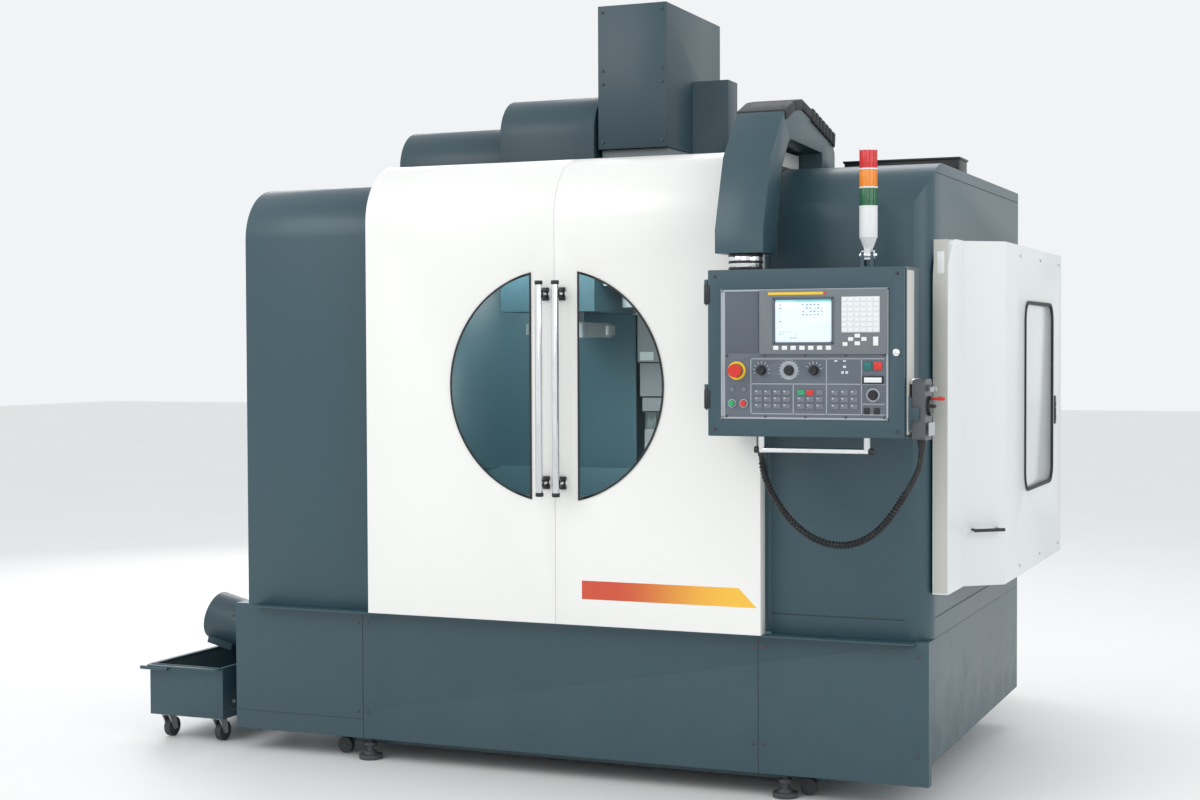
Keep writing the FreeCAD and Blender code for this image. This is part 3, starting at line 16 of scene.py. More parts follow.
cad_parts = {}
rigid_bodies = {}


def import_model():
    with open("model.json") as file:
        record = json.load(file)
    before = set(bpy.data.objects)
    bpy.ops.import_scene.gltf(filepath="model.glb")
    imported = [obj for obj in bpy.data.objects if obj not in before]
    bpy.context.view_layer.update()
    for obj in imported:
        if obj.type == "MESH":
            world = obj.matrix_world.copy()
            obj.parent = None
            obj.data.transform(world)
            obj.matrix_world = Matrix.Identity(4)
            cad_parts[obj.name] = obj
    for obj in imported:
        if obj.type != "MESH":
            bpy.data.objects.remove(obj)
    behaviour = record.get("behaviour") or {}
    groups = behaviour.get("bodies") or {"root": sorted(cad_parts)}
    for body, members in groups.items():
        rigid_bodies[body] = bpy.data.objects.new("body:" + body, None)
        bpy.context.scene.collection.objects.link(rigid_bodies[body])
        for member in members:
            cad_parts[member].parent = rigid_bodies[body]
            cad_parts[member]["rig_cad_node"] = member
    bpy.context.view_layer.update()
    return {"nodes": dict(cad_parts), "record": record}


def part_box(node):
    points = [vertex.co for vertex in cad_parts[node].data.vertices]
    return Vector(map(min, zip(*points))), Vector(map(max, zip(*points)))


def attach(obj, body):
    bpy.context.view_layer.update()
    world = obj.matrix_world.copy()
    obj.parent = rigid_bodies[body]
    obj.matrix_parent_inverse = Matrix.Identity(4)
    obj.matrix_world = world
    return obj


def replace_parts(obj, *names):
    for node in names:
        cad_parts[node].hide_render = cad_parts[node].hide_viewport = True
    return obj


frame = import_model()

# %% [markdown]
# # One datum for every measurement
#
# A machine builder measures this machine from the line where the two front doors meet. We do the same,
# in millimetres, so that numbers stay short. The datum is read from the CAD doors, which keeps the
# pieces in place if the model is ever moved.

# %% Datum
left_door_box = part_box("left_door")
right_door_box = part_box("right_door")
SPLIT = (left_door_box[1].x + right_door_box[0].x) / 2
FACE = right_door_box[0].y


def at(x, y, z):
    """A place in metres, from millimetres right of the door split, behind the door face, above the floor."""
    return Vector((SPLIT + x / 1000, FACE + y / 1000, z / 1000))


print("datum", round(SPLIT, 3), round(FACE, 3))

# %% [markdown]
# # The camera
#
# The machine is seen by somebody who stands a good six metres away, right of its middle and at eye
# height. A long lens keeps the tall doors upright. The camera turns about the vertical first, then tips
# down a little, and last rolls by a fifth of a degree.

# %% Camera
bpy.ops.object.camera_add(location=(2.746, -6.7483, 1.475))
camera = bpy.context.object
camera.name = "camera"
camera.rotation_mode = "QUATERNION"
turn = Quaternion((0, 0, 1), math.radians(22.81))
tip = Quaternion((1, 0, 0), math.radians(90 - 1.646))
roll = Quaternion((0, 0, 1), math.radians(-0.2236))
camera.rotation_quaternion = turn @ tip @ roll
camera.data.lens = 56.382
camera.data.sensor_width = 36
bpy.context.scene.camera = camera
print("camera looks along", camera.rotation_quaternion @ Vector((0, 0, -1)))

# %% [markdown]
# # The handwheel's cord
#
# A black conduit leaves the gland under the control box, hangs in a long bow and climbs into the small
# handwheel unit. It has one fixed length, so it is drawn as one smooth curve that gravity has pulled
# down, not as bent wire. The points are the listed corners that the curve swings round.

# %% Cord
CORD_RADIUS = 9
CORD_Y = -140
CORD_ROUTE = [
    (772, 1165), (772, 1112), (790, 1042), (828, 975), (882, 912), (950, 868), (1028, 852),
    (1104, 872), (1166, 922), (1212, 988), (1252, 1052), (1282, 1118), (1282, 1187),
]


def smooth_curve(name, points, radius):
    """A round cord along a NURBS line that swings round its points, in machine millimetres."""
    curve = bpy.data.curves.new(name, "CURVE")
    curve.dimensions = "3D"
    curve.bevel_depth = 1
    curve.bevel_resolution = 6
    curve.resolution_u = 10
    curve.use_fill_caps = True
    spline = curve.splines.new("NURBS")
    spline.points.add(len(points) - 1)
    for spot, place in zip(spline.points, points):
        spot.co = (*at(*place), 1)
        spot.radius = radius / 1000
    spline.order_u = 3
    spline.use_endpoint_u = True
    cord = bpy.data.objects.new(name, curve)
    bpy.context.scene.collection.objects.link(cord)
    return cord


cord = smooth_curve("handwheel_conduit", [(x, CORD_Y, z) for x, z in CORD_ROUTE], CORD_RADIUS)
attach(cord, "pendant_box")
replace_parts(cord, "handwheel_cord")

# %% [markdown]
# # A small language for materials
#
# Blender's materials are nodes joined by links. Written out one by one they hide the idea, so one small
# class wraps an output socket: wires can then be added and multiplied like numbers, and one method makes
# any other kind of node. Patterns all start from Object coordinates, which are metres on the machine.

# %% Wires
class Wire:
    """One output of a shader node, which can be used in sums."""

    def __init__(self, socket):
        self.socket = socket
        self.tree = socket.id_data

    def node(self, kind, sockets, output=0, **settings):
        """Any other node: its settings are set first, then its sockets are filled or linked."""
        made = self.tree.nodes.new(kind)
        for name, value in settings.items():
            setattr(made, name, value)
        for key, value in sockets.items():
            if isinstance(value, Wire):
                self.tree.links.new(value.socket, made.inputs[key])
            else:
                made.inputs[key].default_value = value
        return Wire(made.outputs[output])

    def sum(self, operation, first, second):
        return self.node("ShaderNodeMath", {0: first, 1: second}, operation=operation)

    def __add__(self, other):
        return self.sum("ADD", self, other)

    __radd__ = __add__

    def __sub__(self, other):
        return self.sum("SUBTRACT", self, other)

    def __rsub__(self, other):
        return self.sum("SUBTRACT", other, self)

    def __mul__(self, other):
        return self.sum("MULTIPLY", self, other)

    __rmul__ = __mul__

    def __gt__(self, other):
        return self.sum("GREATER_THAN", self, other)

    def __lt__(self, other):
        return self.sum("LESS_THAN", self, other)


def noise(point, scale, detail=3.0, rough=0.5):
    sockets = {"Vector": point, "Scale": scale, "Detail": detail, "Roughness": rough}
    return point.node("ShaderNodeTexNoise", sockets)


def stretch(point, factors):
    """Squeeze the pattern by a factor along each axis."""
    return point.node("ShaderNodeVectorMath", {0: point, 1: factors}, operation="MULTIPLY")


def axis(point, letter):
    return point.node("ShaderNodeSeparateXYZ", {0: point}, output="XYZ".index(letter))


def ramp(wire, low, high):
    """0 below low, 1 above high and a smooth rise between."""
    sockets = {0: wire, 1: low, 2: high}
    return wire.node("ShaderNodeMapRange", sockets, interpolation_type="SMOOTHSTEP")


def mix(factor, first, second):
    """Between two colours, each a wire or three numbers."""
    colours = [c if isinstance(c, Wire) else (*c, 1) for c in (first, second)]
    sockets = {0: factor, 6: colours[0], 7: colours[1]}
    return factor.node("ShaderNodeMix", sockets, output=2, data_type="RGBA")


def bump(height, strength, distance):
    sockets = {"Height": height, "Strength": strength, "Distance": distance}
    return height.node("ShaderNodeBump", sockets)


class Finish:
    """A material with one Principled shader, and the point that its patterns start from."""

    def __init__(self, name, **constants):
        self.material = bpy.data.materials.new(name)
        self.material.use_nodes = True
        tree = self.material.node_tree
        self.shader = tree.nodes["Principled BSDF"]
        for socket, value in constants.items():
            self.shader.inputs[socket.replace("_", " ")].default_value = value
        coordinates = tree.nodes.new("ShaderNodeTexCoord")
        self.point = Wire(coordinates.outputs["Object"])
        self.uv = Wire(coordinates.outputs["UV"])

    def set(self, **wires):
        for socket, wire in wires.items():
            target = self.shader.inputs[socket.replace("_", " ")]
            self.material.node_tree.links.new(wire.socket, target)
        return self.material


print("material helpers ready")

# %% [markdown]
# # Paint on steel sheet
#
# Most of the machine is powder coat: a slightly pebbled skin whose gloss drifts from place to place,
# with faint rub marks and a little dust low down. A broad noise moves the colour, a fine noise makes the
# pebbles, and a high noise with a hard ramp gives sparse scuffs. One recipe serves all the painted sheet.


# %% Powder coat
def shade(colour, factor):
    return tuple(channel * factor for channel in colour)


def powder_coat(name, colour, gloss=0.4, pebble=0.10, drift=0.14, dirt=0.10, coat=0.15):
    finish = Finish(name, Coat_Weight=coat, Coat_Roughness=0.22)
    point = finish.point
    broad = noise(point, 1.7, 4)
    scuff = ramp(noise(stretch(point, (1, 1, 0.35)), 38, 8, 0.72), 0.66, 0.80)
    height = axis(point, "Z")
    dust = ramp(noise(point, 9, 6, 0.65) - height * 0.9, 0.10, 0.55)
    base = mix(broad, shade(colour, 1 - drift), shade(colour, 1 + drift))
    base = mix(scuff * 0.25, base, shade(colour, 1.8))
    base = mix(dust * dirt, base, (0.30, 0.28, 0.25))
    rough = gloss + broad * 0.08 + scuff * 0.12 + dust * 0.15
    peel = noise(point, 420, 2)
    fine = noise(point, 1500, 1)
    normal = bump(peel + fine * 0.4, pebble, 0.0004)
    return finish.set(Base_Color=base, Roughness=rough, Normal=normal)


TEAL = (0.026, 0.066, 0.086)
ENCLOSURE = powder_coat("enclosure_powder_coat", TEAL, drift=0.07, dirt=0.035)
CHANGER = powder_coat("changer_powder_coat", shade(TEAL, 0.82), gloss=0.46, drift=0.06, dirt=0.03)
INTERIOR = powder_coat("interior_paint", (0.052, 0.118, 0.150), gloss=0.34, pebble=0.05, dirt=0.02)
WHITE = powder_coat("door_enamel", (0.82, 0.82, 0.795), 0.30, 0.05, 0.015, 0.04, 0.3)
SIDE_WHITE = powder_coat("side_enamel", (0.70, 0.735, 0.735), 0.34, 0.06, 0.02, 0.05, 0.25)
# BEIGE is beige-grey paint; on the side cover's return strip its darkness is also painted shade for the
# shade that strip sits in.
BEIGE = powder_coat("beige_enamel_and_painted_return_shade", (0.50, 0.50, 0.46), 0.42, 0.06, 0.03, 0.10, 0.1)
COVER_GREY = powder_coat("way_cover_paint", (0.33, 0.34, 0.36), 0.38, 0.05, 0.05, 0.03, 0.1)
PANEL_GREY = powder_coat("panel_paint", (0.105, 0.125, 0.155), 0.5, 0.16, 0.05, 0.0, 0.0)
PANEL_DARK = powder_coat("panel_dark_paint", (0.086, 0.104, 0.132), 0.52, 0.16, 0.05, 0.0, 0.0)
DISPLAY_GREY = powder_coat("display_paint", (0.150, 0.172, 0.190), 0.48, 0.14, 0.04, 0.0, 0.0)
# RIM_GREY is the pale trim paint of dials, bezels and panel lines; on the panel rim and its left band this
# lightness is also a painted highlight along the rim.
RIM_GREY = powder_coat("pale_trim_paint_and_painted_rim_highlight", (0.34, 0.37, 0.41), 0.42, 0.06, 0.04, 0.0, 0.1)
print("paints", len(bpy.data.materials))

# %% [markdown]
# # Bare metal
#
# Ground steel shows fine lines along the way it was ground, so its noise is squeezed in one direction.
# Cast iron is painted over a rough skin and needs a coarse bump. Chrome is nearly a mirror: only faint
# smears break it. Zinc plate sits between, with a cloudy spangle.


# %% Metals
def ground_metal(name, colour, lines, gloss=0.26):
    finish = Finish(name, Metallic=1.0)
    grind = noise(stretch(finish.point, lines), 60, 6, 0.6)
    cloud = noise(finish.point, 11, 3)
    base = mix(cloud, shade(colour, 0.82), colour)
    rough = gloss + grind * 0.16 + cloud * 0.08
    return finish.set(Base_Color=base, Roughness=rough, Normal=bump(grind, 0.12, 0.0002))


def cast_iron(name, colour):
    finish = Finish(name)
    skin = noise(finish.point, 140, 5, 0.6)
    cloud = noise(finish.point, 5, 4)
    oil = ramp(noise(finish.point, 17, 4), 0.52, 0.70)
    base = mix(cloud, shade(colour, 0.8), shade(colour, 1.15))
    base = mix(oil * 0.5, base, shade(colour, 0.55))
    rough = 0.62 - oil * 0.25
    return finish.set(Base_Color=base, Roughness=rough, Normal=bump(skin, 0.35, 0.0012))


def chrome(name):
    finish = Finish(name, Metallic=1.0)
    smear = ramp(noise(stretch(finish.point, (1, 1, 0.3)), 32, 5, 0.6), 0.45, 0.75)
    base = mix(smear, (0.86, 0.87, 0.88), (0.74, 0.75, 0.77))
    return finish.set(Base_Color=base, Roughness=0.05 + smear * 0.12)


STEEL = ground_metal("ground_steel", (0.56, 0.57, 0.58), (0.2, 9, 9))
TABLE_STEEL = ground_metal("table_steel", (0.50, 0.51, 0.52), (0.3, 12, 2))
ZINC = ground_metal("zinc_plate", (0.60, 0.61, 0.62), (3, 3, 3), 0.34)
SCREW = ground_metal("black_oxide_screw", (0.10, 0.10, 0.11), (4, 4, 4), 0.38)
IRON = cast_iron("painted_casting", (0.20, 0.23, 0.24))
FOOT_IRON = cast_iron("foot_casting", (0.055, 0.060, 0.065))
CHROME = chrome("polished_chrome")
print("metals ready")

# %% [markdown]
# # Moulded plastic, rubber and glass
#
# Moulded parts are even in colour but carry a spark-eroded texture and finger marks, so most of their
# life is in the roughness. Rubber is duller, with a pale bloom. The windows are thin sheet: light goes
# straight through, and only a grazing view shows gloss, so they mix a clear and a glossy shader.


# %% Plastics, rubber, glass
def plastic(name, colour, gloss=0.4, grain=0.12, wear=0.1):
    finish = Finish(name)
    spark = noise(finish.point, 1300, 2)
    marks = ramp(noise(finish.point, 55, 6, 0.65), 0.48, 0.72)
    base = mix(marks * wear, colour, shade(colour, 1.35))
    rough = gloss + marks * 0.14 + spark * 0.05
    return finish.set(Base_Color=base, Roughness=rough, Normal=bump(spark, grain, 0.0002))


def rubber(name, colour):
    finish = Finish(name)
    skin = noise(finish.point, 700, 4, 0.7)
    bloom = ramp(noise(finish.point, 40, 5), 0.50, 0.78)
    base = mix(bloom * 0.35, colour, (0.09, 0.09, 0.09))
    return finish.set(Base_Color=base, Roughness=0.62 + bloom * 0.2, Normal=bump(skin, 0.2, 0.0004))


def ribbed_rubber(name, colour, ribs):
    """Conduit skin: rings across the cord, spaced along its own U."""
    finish = Finish(name)
    along = axis(finish.uv, "X")
    ring = along.node("ShaderNodeMath", {0: along * (ribs * math.tau)}, operation="SINE")
    bloom = ramp(noise(finish.point, 60, 5), 0.50, 0.78)
    base = mix(bloom * 0.4, colour, (0.08, 0.08, 0.08))
    rough = 0.42 + bloom * 0.25
    return finish.set(Base_Color=base, Roughness=rough, Normal=bump(ring, 0.7, 0.0012))


def clear_sheet(name, tint):
    """Thin polycarbonate: clear straight on and glossy at a grazing angle, with faint wipe marks."""
    finish = Finish(name, Base_Color=(*shade(tint, 0.25), 1))
    tree = finish.material.node_tree
    wipe = ramp(noise(stretch(finish.point, (0.4, 1, 1.6)), 4, 4, 0.5), 0.40, 0.85)
    finish.set(Roughness=0.03 + wipe * 0.05)
    clear = tree.nodes.new("ShaderNodeBsdfTransparent")
    clear.inputs["Color"].default_value = (*tint, 1)
    rim = wipe.node("ShaderNodeFresnel", {"IOR": 1.35})
    both = tree.nodes.new("ShaderNodeMixShader")
    tree.links.new((rim * 0.9 + wipe * 0.006).socket, both.inputs[0])
    tree.links.new(clear.outputs[0], both.inputs[1])
    tree.links.new(finish.shader.outputs[0], both.inputs[2])
    tree.links.new(both.outputs[0], tree.nodes["Material Output"].inputs["Surface"])
    return finish.material


BLACK = plastic("black_moulding", (0.012, 0.012, 0.014), 0.36)
RED = plastic("red_moulding", (0.62, 0.025, 0.015), 0.25)
GREEN = plastic("green_moulding", (0.02, 0.34, 0.13), 0.28)
YELLOW = plastic("yellow_moulding", (0.80, 0.52, 0.02), 0.34)
KEY_WHITE = plastic("pale_key", (0.74, 0.76, 0.77), 0.42)
KEY_GREY = plastic("grey_key", (0.15, 0.17, 0.20), 0.45)
MARK_WHITE = plastic("white_mark", (0.62, 0.65, 0.68), 0.5)
TEAL_KEY = plastic("teal_lamp", (0.01, 0.14, 0.13), 0.3)
UNIT_GREY = plastic("unit_moulding", (0.40, 0.43, 0.45), 0.42)
UNIT_DARK = plastic("handwheel_moulding", (0.085, 0.092, 0.105), 0.34)
TOWER_WHITE = plastic("tower_moulding", (0.72, 0.74, 0.75), 0.34)
RUBBER = rubber("gasket_rubber", (0.014, 0.015, 0.016))
TYRE = rubber("tyre_rubber", (0.035, 0.036, 0.038))
CONDUIT = ribbed_rubber("conduit_rubber", (0.012, 0.012, 0.014), 150)
WINDOW = clear_sheet("clear_window", (0.90, 0.96, 0.95))
SIDE_GLASS = powder_coat("milky_window", (0.60, 0.64, 0.64), 0.16, 0.01, 0.03, 0.01, 0.5)
cord.data.materials.append(CONDUIT)
print("materials", len(bpy.data.materials))

# %% [markdown]
# # Helpers for making pieces by hand
#
# Each helper does what a hand would do in the window: clear the selection, add a primitive at its size,
# go into edit mode, bevel or inset it, come back. A piece is made of such parts: they are joined, named,
# painted, told which body they ride on, and left at the origin with their place in the mesh.


# %% Piece helpers
@contextmanager
def edit_mode():
    bpy.ops.object.mode_set(mode="EDIT")
    yield
    bpy.ops.object.mode_set(mode="OBJECT")


def select_only(piece):
    bpy.ops.object.select_all(action="DESELECT")
    piece.select_set(True)
    bpy.context.view_layer.objects.active = piece


def applied(size=(1, 1, 1)):
    """The primitive just added, with its size and place moved into its mesh."""
    piece = bpy.context.object
    piece.scale = size
    bpy.ops.object.transform_apply(location=True, rotation=True, scale=True)
    return piece


def round_edges(width, segments=2, sharp=None):
    """In edit mode, bevel every edge, or only the edges sharper than an angle."""
    bpy.ops.mesh.select_mode(type="EDGE")
    if sharp is None:
        bpy.ops.mesh.select_all(action="SELECT")
    else:
        bpy.ops.mesh.select_all(action="DESELECT")
        bpy.ops.mesh.edges_select_sharp(sharpness=math.radians(sharp))
    bpy.ops.mesh.bevel(offset=width / 1000, segments=segments, affect="EDGES")


def block(low, high, edge=1.0, segments=2):
    """A block between two corners, with all its edges rounded."""
    low, high = at(*low), at(*high)
    bpy.ops.object.select_all(action="DESELECT")
    bpy.ops.mesh.primitive_cube_add(size=1, location=(low + high) / 2)
    piece = applied(high - low)
    with edit_mode():
        round_edges(edge, segments)
    return piece


def plates(front, back, edge, segments, spans):
    """Flat blocks that face the operator, each between two (x, z) corners."""
    return [
        block((low[0], front, low[1]), (high[0], back, high[1]), edge, segments)
        for low, high in spans
    ]


def bar(start, end, radius, edge=1.0, sides=40, end_radius=None):
    """A round bar or a taper between two points, with rounded rims."""
    start, end = at(*start), at(*end)
    run = end - start
    end_radius = radius if end_radius is None else end_radius
    bpy.ops.object.select_all(action="DESELECT")
    bpy.ops.mesh.primitive_cone_add(
        vertices=sides, radius1=radius / 1000, radius2=end_radius / 1000, depth=run.length,
        location=(start + end) / 2, rotation=run.to_track_quat("Z", "Y").to_euler(),
    )
    piece = applied()
    with edit_mode():
        round_edges(edge, 2, sharp=50)
    return piece


def bars(spots, reach, *shape):
    """Equal bars, screws or bolts, each from its own spot along the same reach."""
    return [bar(spot, [a + b for a, b in zip(spot, reach)], *shape) for spot in spots]


def thicken(piece, thick, edge):
    """Give a flat piece its thickness behind its face, and round the rim."""
    solid = piece.modifiers.new("thickness", "SOLIDIFY")
    solid.thickness = thick / 1000
    solid.offset = -1
    bpy.ops.object.modifier_apply(modifier=solid.name)
    with edit_mode():
        round_edges(edge, 2, sharp=50)
    return piece


def open_middle(width):
    """In edit mode, with one face selected, keep a border of a given width and take out the rest."""
    bpy.ops.mesh.inset(thickness=width / 1000, depth=0)
    bpy.ops.mesh.delete(type="FACE")


def disc(centre, radius, sides):
    """One round face that looks at the operator."""
    bpy.ops.object.select_all(action="DESELECT")
    bpy.ops.mesh.primitive_circle_add(
        vertices=sides, radius=radius / 1000, fill_type="NGON", location=at(*centre),
        rotation=(math.radians(90), 0, 0),
    )
    return applied()


def washer(centre, inner, outer, thick, edge=0.4):
    """A flat ring whose centre lies on its front face."""
    piece = disc(centre, outer, 56)
    with edit_mode():
        bpy.ops.mesh.select_all(action="SELECT")
        open_middle(outer - inner)
    return thicken(piece, thick, edge)


def border(centre, wide, high, corner, width, thick, turn=(90, 0, 0)):
    """A rounded rectangular frame, or a plate with no width; it faces the operator unless turned."""
    bpy.ops.object.select_all(action="DESELECT")
    bpy.ops.mesh.primitive_plane_add(size=1)
    piece = applied((wide / 1000, high / 1000, 1))
    with edit_mode():
        bpy.ops.mesh.select_mode(type="VERT")
        bpy.ops.mesh.select_all(action="SELECT")
        bpy.ops.mesh.bevel(offset=corner / 1000, segments=8, affect="VERTICES")
        bpy.ops.mesh.select_mode(type="FACE")
        bpy.ops.mesh.select_all(action="SELECT")
        if width is not None:
            open_middle(width)
    piece.rotation_euler = [math.radians(angle) for angle in turn]
    piece.location = at(*centre)
    bpy.ops.object.transform_apply(location=True, rotation=True, scale=True)
    return thicken(piece, thick, 1 if width is None else min(1, width / 4))


def joined(*parts):
    """Several parts made one piece."""
    if len(parts) > 1:
        select_only(parts[0])
        for part in parts:
            part.select_set(True)
        bpy.ops.object.join()
    return parts[0]


def copied(piece, shift):
    """A copy with its own mesh, moved by millimetres."""
    select_only(piece)
    bpy.ops.object.duplicate()
    bpy.ops.transform.translate(value=Vector(shift) / 1000)
    bpy.ops.object.transform_apply(location=True, rotation=False, scale=False)
    return bpy.context.object


def repeated(piece, shifts):
    """One piece at its own place and at each further shift, joined."""
    return joined(piece, *[copied(piece, shift) for shift in shifts])


def done(name, material, body, slot, *parts, smooth=35):
    """Join the parts, name and paint the piece, and let it ride on its body."""
    piece = joined(*parts)
    piece.name = name
    piece.data.materials.clear()
    piece.data.materials.append(material)
    select_only(piece)
    bpy.ops.object.shade_smooth_by_angle(angle=math.radians(smooth))
    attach(piece, body)
    return piece


print("piece helpers ready")

# %% [markdown]
# # Sheet metal with real edges
#
# Folded and cut sheet never has knife edges: the press leaves a small round, and paint rounds it more.
# Those rounds catch the light and make the machine look solid. We copy each CAD sheet, weld its loose
# triangles, melt the flat ones into faces and bevel what is still sharp. The copy stands for the node.


# %% Softened copies of CAD nodes
BODY_OF = {
    node: body
    for body, nodes in frame["record"]["behaviour"]["bodies"].items()
    for node in nodes
}
SLOT_OF = {part["node"]: part["material_slot"] for part in frame["record"]["subparts"]}
FINE_NODES = ("operator_panel", "display_unit")


def softened(node, material, width):
    """A welded copy of a CAD node with rounded edges, which is shown in its place."""
    source = frame["nodes"][node]
    source.hide_viewport = False
    select_only(source)
    bpy.ops.object.duplicate()
    piece = bpy.context.object
    del piece["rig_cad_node"]
    piece.parent = None
    with edit_mode():
        bpy.ops.mesh.select_all(action="SELECT")
        bpy.ops.mesh.remove_doubles(threshold=0.00002)
        bpy.ops.mesh.dissolve_limited(angle_limit=math.radians(0.6))
    bevel = piece.modifiers.new("edge", "BEVEL")
    bevel.width = width / 1000
    bevel.segments = 2
    bevel.limit_method = "ANGLE"
    bevel.angle_limit = math.radians(38)
    bevel.use_clamp_overlap = True
    bpy.ops.object.modifier_apply(modifier=bevel.name)
    done(f"{node}_finished", material, BODY_OF[node], SLOT_OF[node], piece, smooth=30)
    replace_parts(piece, node)


SHEETS = {
    ENCLOSURE: (
        "left_guard", "right_guard", "base_skirt", "rear_guard", "roof_panel", "pendant_arm",
        "control_box", "pendant_front", "coolant_tank", "cart_tray",
    ),
    WHITE: ("left_door", "right_door"),
    SIDE_WHITE: ("side_cover", "electrical_cabinet", "cabinet_door"),
    CHANGER: ("changer_cover", "magazine_cover", "head_cover", "auger_tube"),
    INTERIOR: ("inner_guard",),
    PANEL_GREY: ("operator_panel",),
    DISPLAY_GREY: ("display_unit",),
    IRON: ("bed", "column", "saddle", "spindle_head"),
    TABLE_STEEL: ("table",),
    FOOT_IRON: ("levelling_feet",),
}
for paint, nodes in SHEETS.items():
    for node in nodes:
        softened(node, paint, 0.6 if node in FINE_NODES else 1.2)
print("softened", sum(len(nodes) for nodes in SHEETS.values()), "nodes")

# %% [markdown]
# # Parts that keep their CAD shape
#
# Turned and moulded parts already have their true shape: handles, wheels, knobs and the spindle. They
# only need a finish, which replaces the plain colour that came with the model.

# %% Dress the remaining nodes
DRESS = {
    WINDOW: ("left_window", "right_window"),
    CHROME: ("left_handle", "right_handle", "towel_bar"),
    BLACK: ("side_handle", "mode_knob", "feed_knob", "speed_knob", "jog_knob", "handwheel_dial"),
    STEEL: ("auger_screw", "spindle"),
    TYRE: (
        "tank_left_wheels", "tank_right_wheels", "cart_left_wheel", "cart_right_wheel",
        "cart_rear_wheels",
    ),
    ZINC: ("cart_left_fork", "cart_right_fork", "change_arm"),
    IRON: ("tool_magazine",),
    UNIT_DARK: ("handwheel_unit",),
    RED: ("estop_button", "stop_button"),
    GREEN: ("start_button",),
    TOWER_WHITE: ("signal_tower",),
}
for material, nodes in DRESS.items():
    for node in nodes:
        materials = frame["nodes"][node].data.materials
        materials.clear()
        materials.append(material)
print("dressed", sum(len(nodes) for nodes in DRESS.values()), "nodes")

# %% [markdown]
# # Doors: gaskets, handles and the colour stripe
#
# A rubber section is pressed round each half-round window. It is cut from a filled circle: bisect it
# along the straight edge, inset its face, take the middle out and give the rest a thickness. The
# handles are chrome tubes that stand on black brackets, with black caps on their ends.

# %% Window gaskets
DOORS = {"left_door": -1, "right_door": 1}
WINDOW_RADIUS = 390
WINDOW_EDGE = 88
WINDOW_Z = 1341
GASKET_WIDE = 7
GASKET_OVERLAP = 3


def half_round_gasket(side):
    piece = disc((0, -4, WINDOW_Z), WINDOW_RADIUS + GASKET_OVERLAP, 160)
    with edit_mode():
        bpy.ops.mesh.select_all(action="SELECT")
        bpy.ops.mesh.bisect(
            plane_co=at(side * (WINDOW_EDGE - GASKET_OVERLAP), 0, WINDOW_Z), plane_no=(-side, 0, 0),
            clear_outer=True, use_fill=False,
        )
        bpy.ops.mesh.select_mode(type="FACE")
        bpy.ops.mesh.select_all(action="SELECT")
        open_middle(GASKET_WIDE)
    return thicken(piece, 4, 1.5)


for door, side in DOORS.items():
    done(f"{door}_gasket", RUBBER, door, "knob_black", half_round_gasket(side))
print("window gaskets", GASKET_WIDE, "mm wide")

# %% Door handles
HANDLE_X, HANDLE_Y = 30, -60
HANDLE_LOW, HANDLE_HIGH = 986, 1680


def handle_fittings(side):
    """The black end caps and the two brackets behind the tube."""
    x = side * HANDLE_X
    parts = []
    for end, z in ((-1, HANDLE_LOW), (1, HANDLE_HIGH)):
        post = z - end * 30
        parts += [
            bar((x, HANDLE_Y, z), (x, HANDLE_Y, z + end * 14), 13.6, 3),
            block((x - 13, -10, post - 22), (x + 13, 0, post + 22), 2.5),
            block((x - 8, -52, post - 13), (x + 8, -8, post + 13), 2),
            block((x - 14, -62, post - 15), (x + 14, -50, post + 15), 3),
        ]
    return parts


for door, side in DOORS.items():
    done(f"{door}_handle_fittings", BLACK, door, "knob_black", *handle_fittings(side))
print("door handles", HANDLE_HIGH - HANDLE_LOW, "mm long")

# %% Door stripe and meeting edge
STRIPE_LEFT, STRIPE_RIGHT = 97, 729
STRIPE_LOW, STRIPE_HIGH = 628, 690
STRIPE_SLANT = 80


def sunset_stripe(name):
    """Printed vinyl that runs from red through orange to yellow, left to right."""
    finish = Finish(name, Coat_Weight=0.4, Coat_Roughness=0.15)
    across = ramp(axis(finish.point, "X") - (SPLIT + 0.20), 0.0, 0.46)
    warm = mix(across, (0.56, 0.035, 0.012), (0.88, 0.50, 0.03))
    print_grain = noise(finish.point, 900, 2)
    base = mix(print_grain * 0.12, warm, (0.9, 0.45, 0.1))
    return finish.set(Base_Color=base, Roughness=0.3 + print_grain * 0.08)


strip = block((STRIPE_LEFT, -0.5, STRIPE_LOW), (STRIPE_RIGHT, 0.2, STRIPE_HIGH), 0.2, 1)
with edit_mode():
    bpy.ops.mesh.select_all(action="SELECT")
    bpy.ops.mesh.bisect(
        plane_co=at(STRIPE_RIGHT - STRIPE_SLANT, 0, STRIPE_HIGH),
        plane_no=(STRIPE_HIGH - STRIPE_LOW, 0, STRIPE_SLANT), clear_outer=True, use_fill=True,
    )
done("door_stripe", sunset_stripe("stripe_vinyl"), "right_door", "door_paint", strip)
meeting = block((-3.2, 3, 545), (-0.7, 30, 1890), 0.6)
done("door_meeting_seal", RUBBER, "left_door", "knob_black", meeting)
print("stripe", STRIPE_HIGH - STRIPE_LOW, "mm high")

# %% [markdown]
# # The operator panel
#
# The panel is a grey sheet divided by pale lines into fields: keys, rotary switches with printed dials,
# signal lamps and a display unit. Keys are the same moulding many times over, so one is made, copied to
# its grid and joined. Nothing here carries words, only blocks, rings and ticks.

# %% Panel places
PANEL_FACE = -232
DISPLAY_FACE = -238
KEY_ROWS = (1330, 1309, 1288)


def keys(columns, rows, wide, high, proud, edge=1.0, face=PANEL_FACE):
    """A grid of equal keys that stand proud of a face."""
    spots = [(x, z) for z in rows for x in columns]
    x, z = spots[0]
    first = block(
        (x - wide / 2, face - proud, z - high / 2), (x + wide / 2, face + 1, z + high / 2), edge
    )
    return repeated(first, [(u - x, 0, w - z) for u, w in spots[1:]])


def on_front(name, material, *parts, slot="panel_grey"):
    done(name, material, "pendant_front", slot, *parts)


